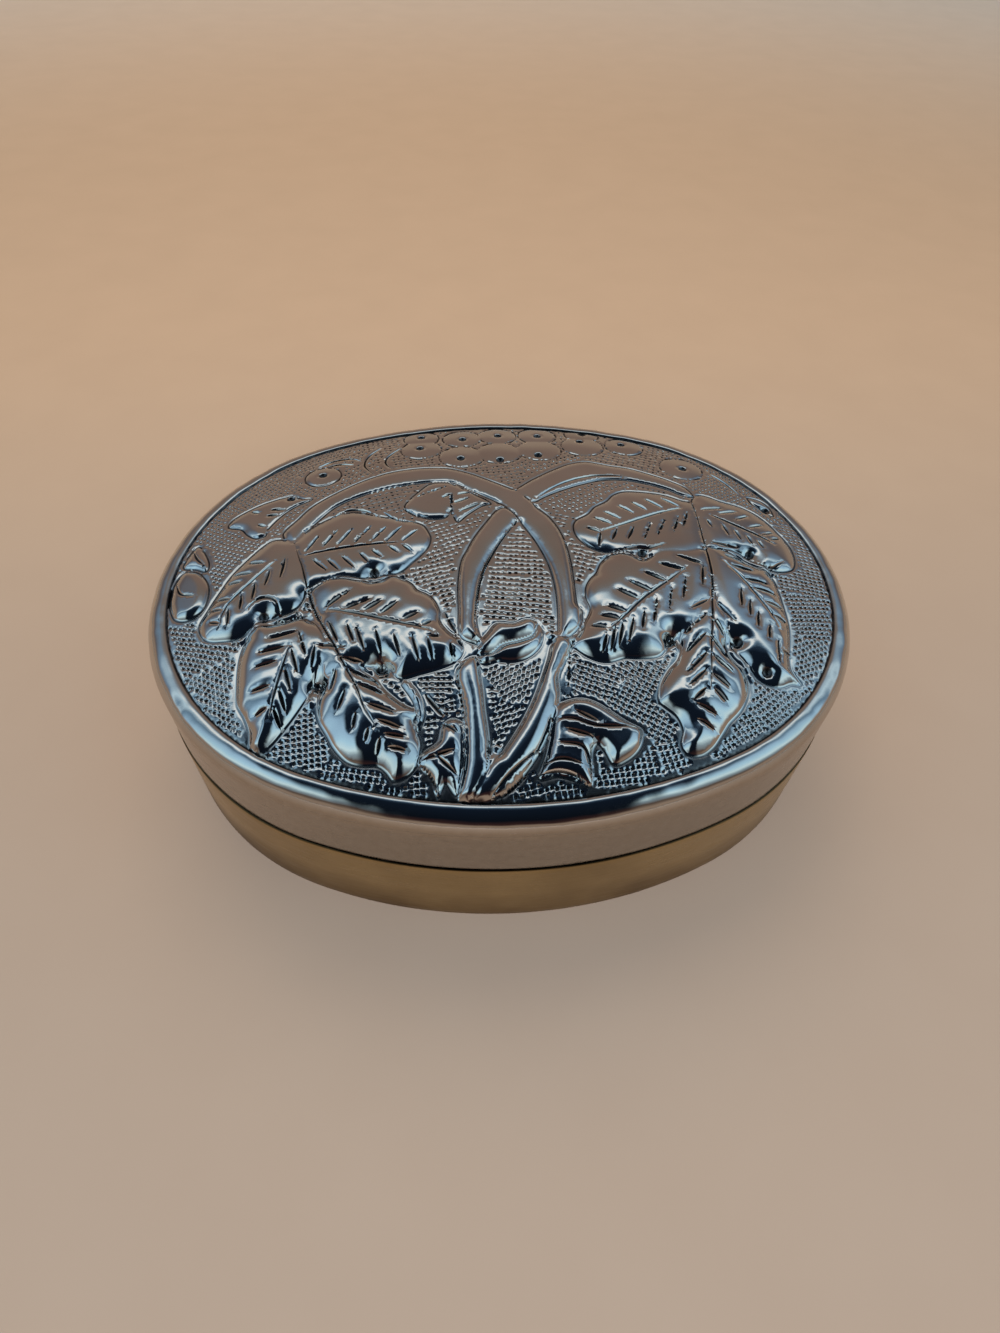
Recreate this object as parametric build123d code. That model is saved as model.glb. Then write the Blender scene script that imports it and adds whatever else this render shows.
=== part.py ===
from build123d import *
import math
import os

# Oval trinket box with a lift-off lid, in millimetres.
# The origin is at the centre of the underside. +X is along the box, +Y goes to the back and +Z is up.

# Plan of the box: an oval of four tangent arcs
box_length = 100.0
box_width = 80.4
side_radius = 69.3         # of the long arcs at the front and back

# Brass base
base_height = 13.5
base_lip = 0.2             # how far the base stands out past the lid, all round
floor_thickness = 0.8

# Inner collar that locates the lid
collar_thickness = 0.6
collar_rise = 4.5          # above the top edge of the base
collar_depth = 5.0         # below the top edge of the base
collar_clearance = 0.3     # running gap to the inside of the lid
solder_film = 0.03         # between the collar and the wall it is soldered to

# Lid
seam_gap = 0.25            # the closed lid stands this far above the top edge of the base
band_height = 8.5
band_thickness = 0.7
cover_thickness = 0.8
cover_edge = 0.05          # upright edge of the cover, below its rolled shoulder
shoulder_radius = 2.6
inner_bevel = 1.2          # across the inside corner of the cover
border_inset = 2.9         # from the outline to the step that frames the dome
border_depth = 0.2         # the dome's edge lies this far below the top of the shoulder
dome_rise = 4.0
dome_fullness = 2.2        # exponent of the dome: 2 is a paraboloid, and more is flatter on top
dome_grid = 13             # points each way across the dome's surface
dome_margin = 1.5          # how far the dome's surface is drawn past the plan before it is trimmed

# Embossed vine
relief_height = 0.9        # of the leaves, stems and grapes above the dome
relief_margin = 0.5        # the embossing stops this far inside the border
grape_radius = 3.6
grape_steps = 12           # straight edges round a grape
lobe_steps = 5             # straight edges along each side of a lobe
vine_steps = 6             # straight edges along each side of a vine

# Lobes of the leaves: foot, tip, and breadth as a share of the length.
# Places on the lid are in hundredths of the dome's half length and half width.
leaf_lobes = [
    ((-64, 15), (-46, -56), 0.3),
    ((-64, 13), (-85, -31), 0.56),
    ((-60, -24), (-69, -79), 0.5),
    ((-52, -34), (-33, -91), 0.48),
    ((-60, -14), (-14, -46), 0.58),
    ((-64, 10), (-22, 7), 0.66),
    ((64, 34), (54, -60), 0.26),
    ((64, 30), (22, 12), 0.56),
    ((64, -2), (16, -48), 0.5),
    ((60, -22), (41, -87), 0.42),
    ((62, 4), (78, -62), 0.38),
    ((64, 34), (90, -6), 0.52),
    ((4, -86), (31, -78), 0.6),
    ((-10, -47), (8, -38), 0.4),
    ((-18, -98), (-18, -70), 0.4),
    ((-86, 29), (-60, 44), 0.45),
    ((-93, -20), (-93, 8), 0.56),
    ((-31, 32), (-2, 34), 0.55),
]

# Vines and stems: three places along one side and three along the other
vine_sides = [
    [(-68, 21), (-39, 57), (-8, 55), (-64, 14), (-41, 44), (-13, 47)],
    [(-8, 55), (13, 27), (19, -33), (-13, 47), (6, 19), (12, -42)],
    [(6, 41), (32, 64), (64, 46), (9, 32), (34, 48), (62, 40)],
    [(0, 28), (-13, 0), (-15, -39), (5, 20), (-6, -9), (-10, -42)],
    [(-16, -53), (-15, -75), (-18, -98), (-11, -48), (-9, -70), (-10, -91)],
    [(15, -45), (10, -67), (-6, -97), (10, -42), (3, -64), (-10, -90)],
]

grape_places = [
    (-25, 79), (-11, 70), (3, 73), (17, 75), (33, 79), (49, 80),
    (-25, 91), (-10, 88), (3, 91), (18, 91), (34, 92),
    (-58, 61), (66, 62),
]

# Places that follow from the sizes above
half_length = box_length / 2
half_width = box_width / 2
lid_bottom = base_height + seam_gap
band_top = lid_bottom + band_height
shoulder_top = band_top + cover_edge + shoulder_radius
dome_edge = shoulder_top - border_depth
dome_top = dome_edge + dome_rise
collar_inset = band_thickness + collar_clearance
wall_thickness = collar_inset + base_lip - solder_film

# The four arcs: the end arcs are tangent to the side arcs
end_radius = (box_width * side_radius - half_length**2 - half_width**2) / (2 * (side_radius - half_length))
end_centre = half_length - end_radius
side_centre = side_radius - half_width
end_sweep = math.degrees(math.atan2(side_centre, end_centre))


def oval_wire(inset, height):
    """The plan outline, drawn in by an inset, at a height."""
    end = end_radius - inset
    side = side_radius - inset
    right = CenterArc((end_centre, 0, height), end, -end_sweep, 2 * end_sweep)
    back = CenterArc((0, -side_centre, height), side, end_sweep, 180 - 2 * end_sweep)
    left = CenterArc((-end_centre, 0, height), end, 180 - end_sweep, 2 * end_sweep)
    front = CenterArc((0, side_centre, height), side, 180 + end_sweep, 180 - 2 * end_sweep)
    return Wire([right, back, left, front])


def oval_plate(inset, bottom, top):
    """A solid oval between two heights."""
    return Solid.extrude(Face(oval_wire(inset, bottom)), Vector(0, 0, top - bottom))


def oval_strip(inset, thickness, bottom, top):
    """A strip bent round the oval, with its outside at an inset."""
    return oval_plate(inset, bottom, top) - oval_plate(inset + thickness, bottom, top)


def make_base_wall():
    return oval_strip(-base_lip, wall_thickness, 0, base_height)


def make_base_floor():
    """The plate fills the foot of the wall."""
    return oval_plate(wall_thickness - base_lip, 0, floor_thickness)


def make_base_collar():
    """The strip is soldered inside the wall and stands up inside the lid."""
    return oval_strip(collar_inset, collar_thickness, base_height - collar_depth, base_height + collar_rise)


def make_lid_band():
    return oval_strip(0, band_thickness, lid_bottom, band_top)


def plan_share(x, y):
    """How far out a point of the plan lies: 0 at the centre and 1 on the border of the dome."""
    if x == 0 and y == 0:
        return 0
    tangent_share = (end_radius - border_inset) / (side_radius - end_radius)
    tangent_x = end_centre * (1 + tangent_share)
    tangent_y = side_centre * tangent_share
    if abs(y) * tangent_x <= abs(x) * tangent_y:
        centre_x, centre_y, radius = end_centre, 0, end_radius - border_inset
    else:
        centre_x, centre_y, radius = 0, -side_centre, side_radius - border_inset
    square = x**2 + y**2
    along = abs(x) * centre_x + abs(y) * centre_y
    reach = centre_x**2 + centre_y**2 - radius**2
    return square / (along + math.sqrt(along**2 - square * reach))


def dome_height(x, y):
    """Height of the dome's surface above a point of the plan, between the embossed parts."""
    return dome_edge + dome_rise * (1 - plan_share(x, y) ** dome_fullness)


def dome_block(lift):
    """Everything under the dome's surface, raised by a lift, down to well below the band's top."""
    reach_x = half_length + dome_margin
    reach_y = half_width + dome_margin
    steps = [2 * index / (dome_grid - 1) - 1 for index in range(dome_grid)]
    rows = []
    for across in steps:
        x = reach_x * across
        rows.append([Vector(x, reach_y * along, dome_height(x, reach_y * along) + lift) for along in steps])
    surface = Face.make_surface_from_array_of_points(rows)
    lowest = dome_height(reach_x, reach_y) - abs(lift)
    return Solid.extrude(surface, Vector(0, 0, -2 * (dome_rise + abs(lowest - band_top))))


def top_rim(solid, height):
    """The edges round the top of an upright oval."""
    return [edge for edge in solid.edges() if min(edge.start_point().Z, edge.end_point().Z) > height]


def domed_oval(edged_oval, drop):
    """An oval with a worked rim, its middle replaced by the dome, lowered by a drop."""
    frame = edged_oval - oval_plate(border_inset, band_top, dome_top)
    middle = oval_plate(border_inset, band_top, dome_top) & dome_block(-drop)
    return frame + middle


def lid_place(place):
    """Where a place of the drawing lies on the plan."""
    across, along = place
    return Vector(across / 100 * (half_length - border_inset), along / 100 * (half_width - border_inset))


def stepped(arc, steps):
    """Points spaced evenly along an arc, from its start to just before its end."""
    return [arc @ (step / steps) for step in range(steps)]


def make_lobe(foot_place, tip_place, breadth):
    """A pointed lobe of a leaf, between two arcs."""
    foot = lid_place(foot_place)
    tip = lid_place(tip_place)
    waist = (foot + tip) / 2
    side = Vector(foot.Y - tip.Y, tip.X - foot.X) * (breadth / 2)
    out = ThreePointArc(foot, waist + side, tip)
    back = ThreePointArc(tip, waist - side, foot)
    return Face(Wire.make_polygon(stepped(out, lobe_steps) + stepped(back, lobe_steps)))


def make_vine(places):
    """A band between two arcs, closed by a straight end at each side."""
    points = [lid_place(place) for place in places]
    out = ThreePointArc(*points[:3])
    back = ThreePointArc(*reversed(points[3:]))
    corners = stepped(out, vine_steps) + [out @ 1] + stepped(back, vine_steps) + [back @ 1]
    return Face(Wire.make_polygon(corners))


def make_grape(place):
    middle = lid_place(place)
    circle = CenterArc(middle, grape_radius, 0, 360)
    return Face(Wire.make_polygon(stepped(circle, grape_steps)))


def make_relief():
    """The leaves, vines and grapes, standing up through the dome to the height of the embossing."""
    drawing = [make_lobe(*lobe) for lobe in leaf_lobes]
    drawing += [make_vine(places) for places in vine_sides]
    drawing += [make_grape(place) for place in grape_places]
    rise = Vector(0, 0, dome_top + relief_height - band_top)
    blocks = Part() + [Solid.extrude(face.moved(Location((0, 0, band_top))), rise) for face in drawing]
    inside = oval_plate(border_inset + relief_margin, band_top, band_top + rise.Z)
    return blocks & inside & dome_block(relief_height)


def make_lid_cover():
    """The sheet is rolled over at the shoulder and rises to an embossed dome inside a stepped border."""
    blank = oval_plate(0, band_top, shoulder_top)
    rolled = blank.fillet(shoulder_radius, top_rim(blank, band_top))
    hollow = oval_plate(cover_thickness, band_top, shoulder_top - cover_thickness)
    bevelled = hollow.chamfer(inner_bevel, None, top_rim(hollow, band_top))
    return domed_oval(rolled, 0) + make_relief() - domed_oval(bevelled, cover_thickness)


pieces = {
    "base_wall": make_base_wall(),
    "base_floor": make_base_floor(),
    "base_collar": make_base_collar(),
    "lid_band": make_lid_band(),
    "lid_cover": make_lid_cover(),
}

os.makedirs("parts", exist_ok=True)
for name, piece in pieces.items():
    piece.label = name
    export_step(piece, f"parts/{name}.step")
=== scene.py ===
"""Dresses the oval trinket box: an embossed nickel silver lid on a plain brass base."""

import math

import bpy
import numpy as np
from mathutils import Matrix, Vector
from mathutils.geometry import delaunay_2d_cdt


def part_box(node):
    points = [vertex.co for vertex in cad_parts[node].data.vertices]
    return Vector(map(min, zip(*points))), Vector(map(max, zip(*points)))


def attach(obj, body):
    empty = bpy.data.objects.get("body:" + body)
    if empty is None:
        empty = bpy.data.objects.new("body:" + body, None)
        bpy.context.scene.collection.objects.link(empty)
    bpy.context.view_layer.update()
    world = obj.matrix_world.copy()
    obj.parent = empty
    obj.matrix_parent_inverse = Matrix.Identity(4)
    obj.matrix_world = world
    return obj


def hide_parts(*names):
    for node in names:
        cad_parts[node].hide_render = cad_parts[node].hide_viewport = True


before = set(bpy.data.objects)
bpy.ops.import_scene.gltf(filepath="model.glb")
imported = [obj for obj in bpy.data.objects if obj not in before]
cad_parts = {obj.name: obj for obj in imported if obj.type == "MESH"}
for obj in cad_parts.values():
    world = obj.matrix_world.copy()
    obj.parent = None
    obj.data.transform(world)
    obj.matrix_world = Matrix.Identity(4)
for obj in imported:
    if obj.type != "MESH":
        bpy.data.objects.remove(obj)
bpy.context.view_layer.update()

bl_info = {
    "name": "Embossed trinket box",
    "version": (1, 0, 0),
    "blender": (4, 5, 0),
    "location": "3D View > Sidebar > Trinket Box",
    "description": "Builds the embossed lid, the plain base and the studio of an oval trinket box",
    "category": "Object",
}

MM = 0.001

# The CAD bodies' places, in millimetres
cover_low, cover_high = (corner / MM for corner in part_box("lid_cover"))
band_low, band_high = (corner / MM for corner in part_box("lid_band"))
wall_low, wall_high = (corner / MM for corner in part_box("base_wall"))
collar_low, collar_high = (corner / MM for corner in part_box("base_collar"))
half_length = cover_high.x
half_width = cover_high.y


def linear(hex_colour):
    """An sRGB hex colour as linear red, green, blue and alpha."""
    shares = [int(hex_colour[place:place + 2], 16) / 255 for place in (1, 3, 5)]
    return tuple(c / 12.92 if c <= 0.04045 else ((c + 0.055) / 1.055) ** 2.4 for c in shares) + (1.0,)


class LidSizes(bpy.types.PropertyGroup):
    """Sizes of the embossed lid, in millimetres."""
    side_radius: bpy.props.FloatProperty(
        name="Side radius", description="Radius of the long arcs of the oval", default=69.3)
    shoulder_radius: bpy.props.FloatProperty(
        name="Shoulder radius", description="Radius of the rolled edge", default=2.6)
    border_inset: bpy.props.FloatProperty(
        name="Border inset", description="From the outline to the chased border line", default=2.9)
    border_depth: bpy.props.FloatProperty(
        name="Border depth", description="From the top of the shoulder down to the dome's edge", default=0.2)
    dome_rise: bpy.props.FloatProperty(
        name="Dome rise", description="From the border line to the middle of the dome", default=4.0)
    dome_fullness: bpy.props.FloatProperty(
        name="Dome fullness", description="Exponent of the dome, flatter on top as it grows", default=2.2)
    sheet: bpy.props.FloatProperty(
        name="Sheet", description="Thickness of the cover's metal", default=0.8)
    emboss_height: bpy.props.FloatProperty(
        name="Emboss height", description="Height of the leaves above the punched ground", default=1.05)
    line_depth: bpy.props.FloatProperty(
        name="Line depth", description="Depth of the chased lines", default=0.2)
    mark_depth: bpy.props.FloatProperty(
        name="Mark depth", description="Depth of the square punch marks", default=0.2)
    mark_pitch: bpy.props.FloatProperty(
        name="Mark pitch", description="Distance from one punch mark to the next", default=0.9)
    hammering: bpy.props.FloatProperty(
        name="Hammering", description="Height of the slow unevenness left by the hammer", default=0.12)


class BaseSizes(bpy.types.PropertyGroup):
    """Sizes of the base and of the lid's side band, in millimetres."""
    wall: bpy.props.FloatProperty(
        name="Wall", description="Thickness of the base wall", default=1.17)
    collar: bpy.props.FloatProperty(
        name="Collar", description="Thickness of the inner collar", default=0.6)
    band: bpy.props.FloatProperty(
        name="Band", description="Thickness of the lid's side band", default=0.7)
    edge_radius: bpy.props.FloatProperty(
        name="Edge radius", description="Wear on the cut edges of the lid's side band", default=0.15)


class Colours(bpy.types.PropertyGroup):
    """Colours of the metals and of the floor."""
    silver: bpy.props.StringProperty(
        name="Nickel silver", description="Polished sheet, as an sRGB hex value", default="#c9c6c2")
    # The colour of the tarnish in the chasing, and also of the painted dark reflection along the front and
    # the painted shade in the seam under the band
    tarnish_and_shade_colour: bpy.props.StringProperty(
        name="Tarnish", description="What stays in the hollows of the chasing", default="#1e2027")
    satin: bpy.props.StringProperty(
        name="Satin nickel silver", description="Rubbed side band, as an sRGB hex value", default="#ccc2b6")
    brass: bpy.props.StringProperty(
        name="Brass", description="Handled brass, as an sRGB hex value", default="#b89e70")
    # Also the colour of the painted shade and painted reflection of the floor near the foot
    brass_film_and_shade: bpy.props.StringProperty(
        name="Dark brass", description="Aged brass near the foot", default="#6d5430")
    floor: bpy.props.StringProperty(
        name="Floor", description="Matt paper under the box", default="#ab9884")


# The plan: an oval of four tangent arcs

def oval_arcs(inset):
    """Radius and centre distance of the end arcs and side arcs, drawn in by an inset."""
    side = bpy.context.scene.trinket_lid.side_radius
    end = (2 * half_width * side - half_length ** 2 - half_width ** 2) / (2 * (side - half_length))
    return end - inset, half_length - end, side - inset, side - half_width


def oval_ring(inset, count):
    """Points round the oval, anticlockwise from +X, evenly spaced along the line."""
    end, end_centre, side, side_centre = oval_arcs(inset)
    sweep = math.atan2(side_centre, end_centre)
    quarter = [end * sweep, side * (math.pi / 2 - sweep)]
    distance = np.arange(count) / count * 4 * sum(quarter)
    turn, rest = np.divmod(distance, sum(quarter))
    rest = np.where(turn % 2 == 1, sum(quarter) - rest, rest)
    on_end = rest < quarter[0]
    angle = np.where(on_end, rest / end, sweep + (rest - quarter[0]) / side)
    x = np.where(on_end, end_centre, 0) + np.where(on_end, end, side) * np.cos(angle)
    y = np.where(on_end, 0, -side_centre) + np.where(on_end, end, side) * np.sin(angle)
    x = np.where((turn == 1) | (turn == 2), -x, x)
    y = np.where(turn >= 2, -y, y)
    return np.column_stack([x, y])


def plan_share(points, inset):
    """How far out points of the plan lie: 0 at the centre and 1 on the oval at an inset."""
    end, end_centre, side, side_centre = oval_arcs(inset)
    x, y = np.abs(points[:, 0]), np.abs(points[:, 1])
    share = end / (side - end)
    on_end = y * end_centre * (1 + share) <= x * side_centre * share
    centre_x = np.where(on_end, end_centre, 0)
    centre_y = np.where(on_end, 0, -side_centre)
    radius = np.where(on_end, end, side)
    square = x ** 2 + y ** 2
    along = x * centre_x + y * centre_y
    reach = centre_x ** 2 + centre_y ** 2 - radius ** 2
    return square / np.maximum(along + np.sqrt(np.maximum(along ** 2 - square * reach, 0)), 1e-9)


def inward(points, inset):
    """How far points lie inside the oval at an inset, and less than zero outside it."""
    end, end_centre, side, side_centre = oval_arcs(inset)
    x, y = np.abs(points[:, 0]), np.abs(points[:, 1])
    on_end = y * end_centre <= (x - end_centre) * side_centre
    return np.where(on_end, end - np.hypot(x - end_centre, y), side - np.hypot(x, y + side_centre))


# The drawing on the lid, in millimetres seen from above

LEFT_LOBES = [
    [(-30, 5.4), (-31.6, 6.6), (-33.3, 6.9), (-34.8, 5.6), (-36.6, 3.2), (-38.4, .4), (-39.8, -3),
     (-40.9, -6), (-41.6, -8.2), (-41.2, -10), (-40, -11.4), (-38, -11.8), (-36, -11.7), (-34.3, -10.6),
     (-33.3, -9.4), (-31.2, -8.8), (-28.5, -7.5), (-27.4, -4), (-28.4, 0)],
    [(-27.6, -9.4), (-30.5, -9.8), (-33, -10.2), (-34.4, -11.6), (-35.1, -13.2), (-35.4, -16),
     (-35.2, -19.5), (-34.8, -22), (-33.7, -24), (-32.9, -26), (-32.7, -28.3), (-32, -29.3), (-30.3, -28.2),
     (-28.6, -26), (-27, -23.5), (-25.9, -21.3), (-25.2, -18.6), (-24, -15.5), (-25.5, -11.5)],
    [(-25.2, -15.5), (-24.4, -18), (-24.6, -20.8), (-24.9, -23), (-24.6, -25.2), (-23.5, -27.3),
     (-22.5, -29.2), (-21, -30.9), (-19.3, -31.6), (-17.4, -31.8), (-16.4, -32.6), (-15.4, -33.8),
     (-13.6, -33), (-12.7, -31.3), (-12.4, -29.5), (-12.9, -27.8), (-13.2, -26.2), (-12.7, -25.2),
     (-14.6, -23.8), (-16.4, -22), (-17.6, -20.4), (-19.5, -18.5), (-21.5, -15.5), (-23.3, -13.5)],
    [(-26.8, -5.2), (-24.5, -3.6), (-22.8, -3.4), (-20.6, -3.8), (-18.8, -3.9), (-16.5, -3.6),
     (-14.7, -3.6), (-13.3, -4.6), (-12.4, -6), (-11.2, -6.8), (-10.2, -8), (-9.5, -10), (-9.5, -11.8),
     (-8.6, -13.4), (-7.3, -14.8), (-6.6, -16.2), (-7, -17.6), (-8, -18.6), (-10, -19.4), (-12.4, -20),
     (-14.4, -20.5), (-15.4, -19.9), (-16, -18.6), (-17.2, -17.6), (-18.6, -18.2), (-20.5, -18),
     (-22.4, -16.4), (-24.4, -12.5), (-25.8, -8.8)],
    [(-30, 5.4), (-28.4, 8.2), (-26.6, 9.8), (-24.8, 10.9), (-22.8, 11.7), (-20.6, 11.4), (-18.6, 10.4),
     (-16.6, 9.6), (-14.4, 8.6), (-12.6, 8.1), (-11.4, 7.2), (-10.7, 5.6), (-10.4, 4.2), (-10.8, 2.4),
     (-11.8, .8), (-13, -.6), (-14.6, -2.4), (-16.3, -3.1), (-17.6, -2.6), (-18.8, -2.6), (-20, -3.2),
     (-22.8, -2.9), (-25.6, -3.6), (-27.4, -4.2), (-28.6, -1)],
]

RIGHT_LOBES = [
    [(30.1, 12.2), (28.3, 13.4), (26, 14.5), (23, 15), (20, 15), (18, 14), (16.6, 12.3), (14.5, 10.7),
     (13.2, 9), (11.4, 7.7), (10.6, 6.4), (10.5, 4.6), (11, 3), (12.2, 1.4), (13.6, .4), (15.4, 0),
     (17.6, -.1), (18.6, -1.2), (19.8, -1.6), (21, -1), (24, -.6), (27, 0), (29.4, 2), (29.8, 7)],
    [(29.4, .5), (26, .4), (22.5, .2), (20.6, -1.2), (19.2, -1.9), (17.8, -.9), (16.2, -.4), (14.6, -.7),
     (13.3, -2), (12.3, -4), (11.4, -5), (10.5, -6.6), (10.2, -8.6), (10.5, -10.6), (9.6, -12.6),
     (8.6, -14.4), (7.4, -16.4), (8.2, -17.8), (9.8, -19), (11.6, -19.4), (13.8, -18.8), (15.6, -18.9),
     (18.2, -18.6), (19.6, -17.4), (20.4, -16), (21.6, -14.9), (23.4, -14.4), (25, -13), (27.4, -9.4),
     (28.7, -4)],
    [(27.9, -9), (25.2, -10.8), (22.8, -13.6), (21.8, -15.4), (21.4, -17.6), (20.6, -19.2), (19.4, -20.4),
     (18.2, -22), (17.4, -23.6), (17.1, -25.2), (17.9, -26.2), (19, -27.4), (19.4, -29.2), (18.8, -31),
     (19.4, -32.3), (21, -32.4), (22.7, -31.4), (24, -30), (25.4, -28.3), (27.4, -26.5), (28.8, -24.4),
     (29.4, -22.2), (29.2, -20.4), (28, -18.4), (28, -15.6), (28.7, -13)],
    [(29.2, .4), (31.5, 1), (33.6, .4), (35, -.9), (36.4, -1.9), (37.6, -2.6), (38.3, -4), (38.4, -6.2),
     (38.2, -10), (37.9, -13), (37.2, -15.6), (36.6, -17.4), (36.1, -19), (36, -20.6), (36.6, -22.6),
     (35.4, -22.4), (33.6, -23), (31.6, -22.5), (30.4, -21), (29.8, -19), (29, -17.4), (28.6, -14.4),
     (28.2, -9)],
    [(30.2, 12.2), (30.8, 14), (32, 15), (33.4, 14.8), (35.2, 13.8), (38, 12.8), (40, 11.3), (41.6, 9.1),
     (42.5, 6.8), (43.2, 5), (43.6, 2.8), (43.3, .4), (42.3, -1.6), (40.6, -2.4), (38.4, -2.3), (36.8, -1),
     (35.6, .4), (33.6, 1.4), (31.5, 1.2), (29.6, 2), (29.9, 7)],
]

# The arched vine, its branch, the trunk and the two stems
VINES = [
    [(-32, 8), (-30, 11.5), (-28, 14.4), (-25, 17), (-22, 19.2), (-18.5, 21.2), (-15.5, 22.3), (-12, 22.8),
     (-8.5, 22.6), (-6.5, 22), (-4, 20.5), (-1, 18.2), (2.8, 15.2), (4.3, 13), (5.4, 11), (7.2, 8.3),
     (8.3, 5.3), (8.9, 2), (9.1, -2), (9, -6), (8.9, -9.8), (9.4, -11), (8.8, -13.5), (7, -15.3),
     (5.5, -15.8), (5.6, -14.5), (6.1, -10), (6.2, -6), (5.8, -2), (4.8, 2), (3.5, 5.5), (2, 9), (0, 12),
     (-3, 14.6), (-6, 17.4), (-7.6, 18.3), (-10, 18.5), (-12.5, 18.2), (-16, 17.6), (-19.5, 16.4),
     (-22.5, 14.9), (-24.8, 13.2), (-26.5, 11), (-28.5, 8), (-30, 5.4)],
    [(3, 15.2), (5, 17.6), (7.5, 19.7), (10, 21.6), (12.5, 23.2), (15, 23.9), (17, 23.4), (19, 22.7),
     (22, 22), (25, 20.6), (28, 18.8), (30.3, 17), (31, 14.5), (29, 14.8), (27.8, 15.7), (26, 16.7),
     (23.5, 17.7), (20.5, 18.4), (17, 18.2), (13.5, 16.9), (10, 15.1), (7.5, 13.6), (5, 11.9), (4.4, 12.8)],
    [(-.2, 10.5), (-2.5, 7), (-4.2, 4), (-5.3, 1.5), (-6.3, -1), (-6.9, -5), (-7.1, -10), (-7.1, -14.3),
     (-5, -15.9), (-4.2, -15.9), (-4.7, -12.5), (-4.3, -8), (-3.3, -3.5), (-1.6, .5), (.2, 4), (2.3, 7.6),
     (1.4, 10)],
    [(-7.8, -19.8), (-5.2, -17.8), (-4.6, -22), (-4.4, -26), (-4.2, -30), (-4.8, -34), (-7.2, -37),
     (-8.3, -36.4), (-7.3, -32), (-7.1, -28), (-7.2, -24)],
    [(5, -15.8), (7.3, -16.6), (6.2, -19), (5, -21.5), (4.8, -24.4), (3.6, -27.4), (1.8, -31), (-.5, -34),
     (-3, -36.2), (-6.5, -37), (-4.6, -33.5), (-2, -30), (0, -27), (1.8, -23.6), (3.6, -19.2)],
]

# The small leaves, buds and curls
SPRIGS = [
    [(-4.8, -17.8), (-3, -17.4), (-1.6, -16.2), (.4, -15.7), (2.4, -14.9), (3.3, -13.2), (3.8, -14.6),
     (3.2, -16.6), (1.6, -18.2), (-.4, -18.9), (-2.4, -18.7), (-4.2, -19.2)],
    [(-4.6, -15.8), (-3.4, -14), (-2.2, -12.6), (0, -12.8), (1.8, -12.1), (3, -12.6), (3.2, -13.2),
     (2.4, -14.7), (.4, -15.5), (-1.6, -16), (-3, -17.2), (-4.9, -17.6)],
    [(4, -25.8), (5.5, -24.8), (7.5, -24.5), (9.2, -25.1), (10.8, -26.3), (12.6, -27.8), (14.3, -28.9),
     (14.2, -30.2), (13.4, -31.6), (12, -32.7), (10.2, -33.3), (9.4, -31.6), (8.6, -30.6), (7.9, -31.6),
     (7.6, -33.6), (7.3, -35.7), (5.5, -35), (3.4, -34.4), (1.2, -34.6), (2.2, -32), (3, -29.5),
     (3.4, -27.6)],
    [(-12.7, -32), (-12.2, -30.6), (-10.4, -29.4), (-9.8, -27.4), (-8.6, -26.4), (-7.4, -27), (-7.2, -29),
     (-7.4, -32), (-8.3, -36), (-9.6, -34.4), (-10.6, -36.2), (-11.2, -34)],
    [(-14.6, -21), (-13.2, -21.4), (-12.1, -23.6), (-11.9, -26), (-12.7, -27.8), (-12.7, -25.6),
     (-13.2, -23.6)],
    [(-40.7, 11.6), (-40.2, 13.4), (-38.2, 15.2), (-36, 16.5), (-34.2, 17.2), (-33, 17.6), (-31.6, 17.9),
     (-30, 16.6), (-28.4, 16.2), (-31, 14.6), (-33, 12.4), (-34.5, 9.6), (-34.6, 8.3), (-36, 7.9),
     (-37.4, 9), (-38.6, 10.6)],
    [(-46.6, .5), (-46.7, -3), (-46, -5.4), (-45, -6.9), (-43.2, -7.2), (-41.6, -5.8), (-41.2, -3.4),
     (-41.5, -1), (-42.6, 1), (-43.8, 2.2), (-45.6, 2.6)],
    [(-46, 3.6), (-45.7, 6), (-44.6, 8), (-43.4, 6.4), (-42.2, 3.6), (-42.4, 2), (-44, 2.8)],
    [(-10.2, 18), (-12, 16), (-13.4, 14), (-14.2, 12.2), (-13.6, 10.8), (-11.8, 9.3), (-9.8, 8.6), (-8, 9),
     (-7.4, 10.4), (-6.8, 8.6), (-6.3, 7.7), (-4.8, 9.4), (-2.6, 11.4), (-1.2, 12), (-3, 14), (-5.4, 16.4),
     (-7.4, 17.9)],
    [(40.5, 15.5), (42.5, 15), (43.6, 13.2), (43.4, 11), (42.2, 12.4), (40.8, 13.8)],
]

# Grapes: x, y and radius of each, and the place of its ring punch
GRAPES = [
    (-5, 26.2, 3.7, -5.2, 25.3), (1.2, 27.2, 3.7, 1.2, 24.6), (8, 28, 3.7, 7.6, 26),
    (15.6, 29.6, 3.6, 15.4, 31.3), (22.9, 30, 3.3, 22.5, 30.5), (8.3, 33.8, 3.3, 8.3, 33.3),
    (1.4, 33.8, 3.3, 1.5, 33.6), (-4.7, 33, 3.3, -4.6, 32.5), (-11.6, 29.4, 3.4, -11.8, 29.7),
    (-11.6, 33.8, 3, -11.6, 34), (16.2, 34.4, 3, 16.3, 34.4), (-27.3, 22.6, 2.9, -27.3, 22.8),
    (31.2, 23, 3.6, 31.4, 22.8),
]

# Ring punches between the lobes and at the curls
PUNCHES = [
    (-32.8, -8.6), (-25, -20.3), (-17, -18.4), (-18.3, -2.1), (-31.8, 17), (19.5, -.4), (20.6, -15.6),
    (29.6, -16.2), (32.3, -21), (36.2, .8), (42.6, 12.4),
]

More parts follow.
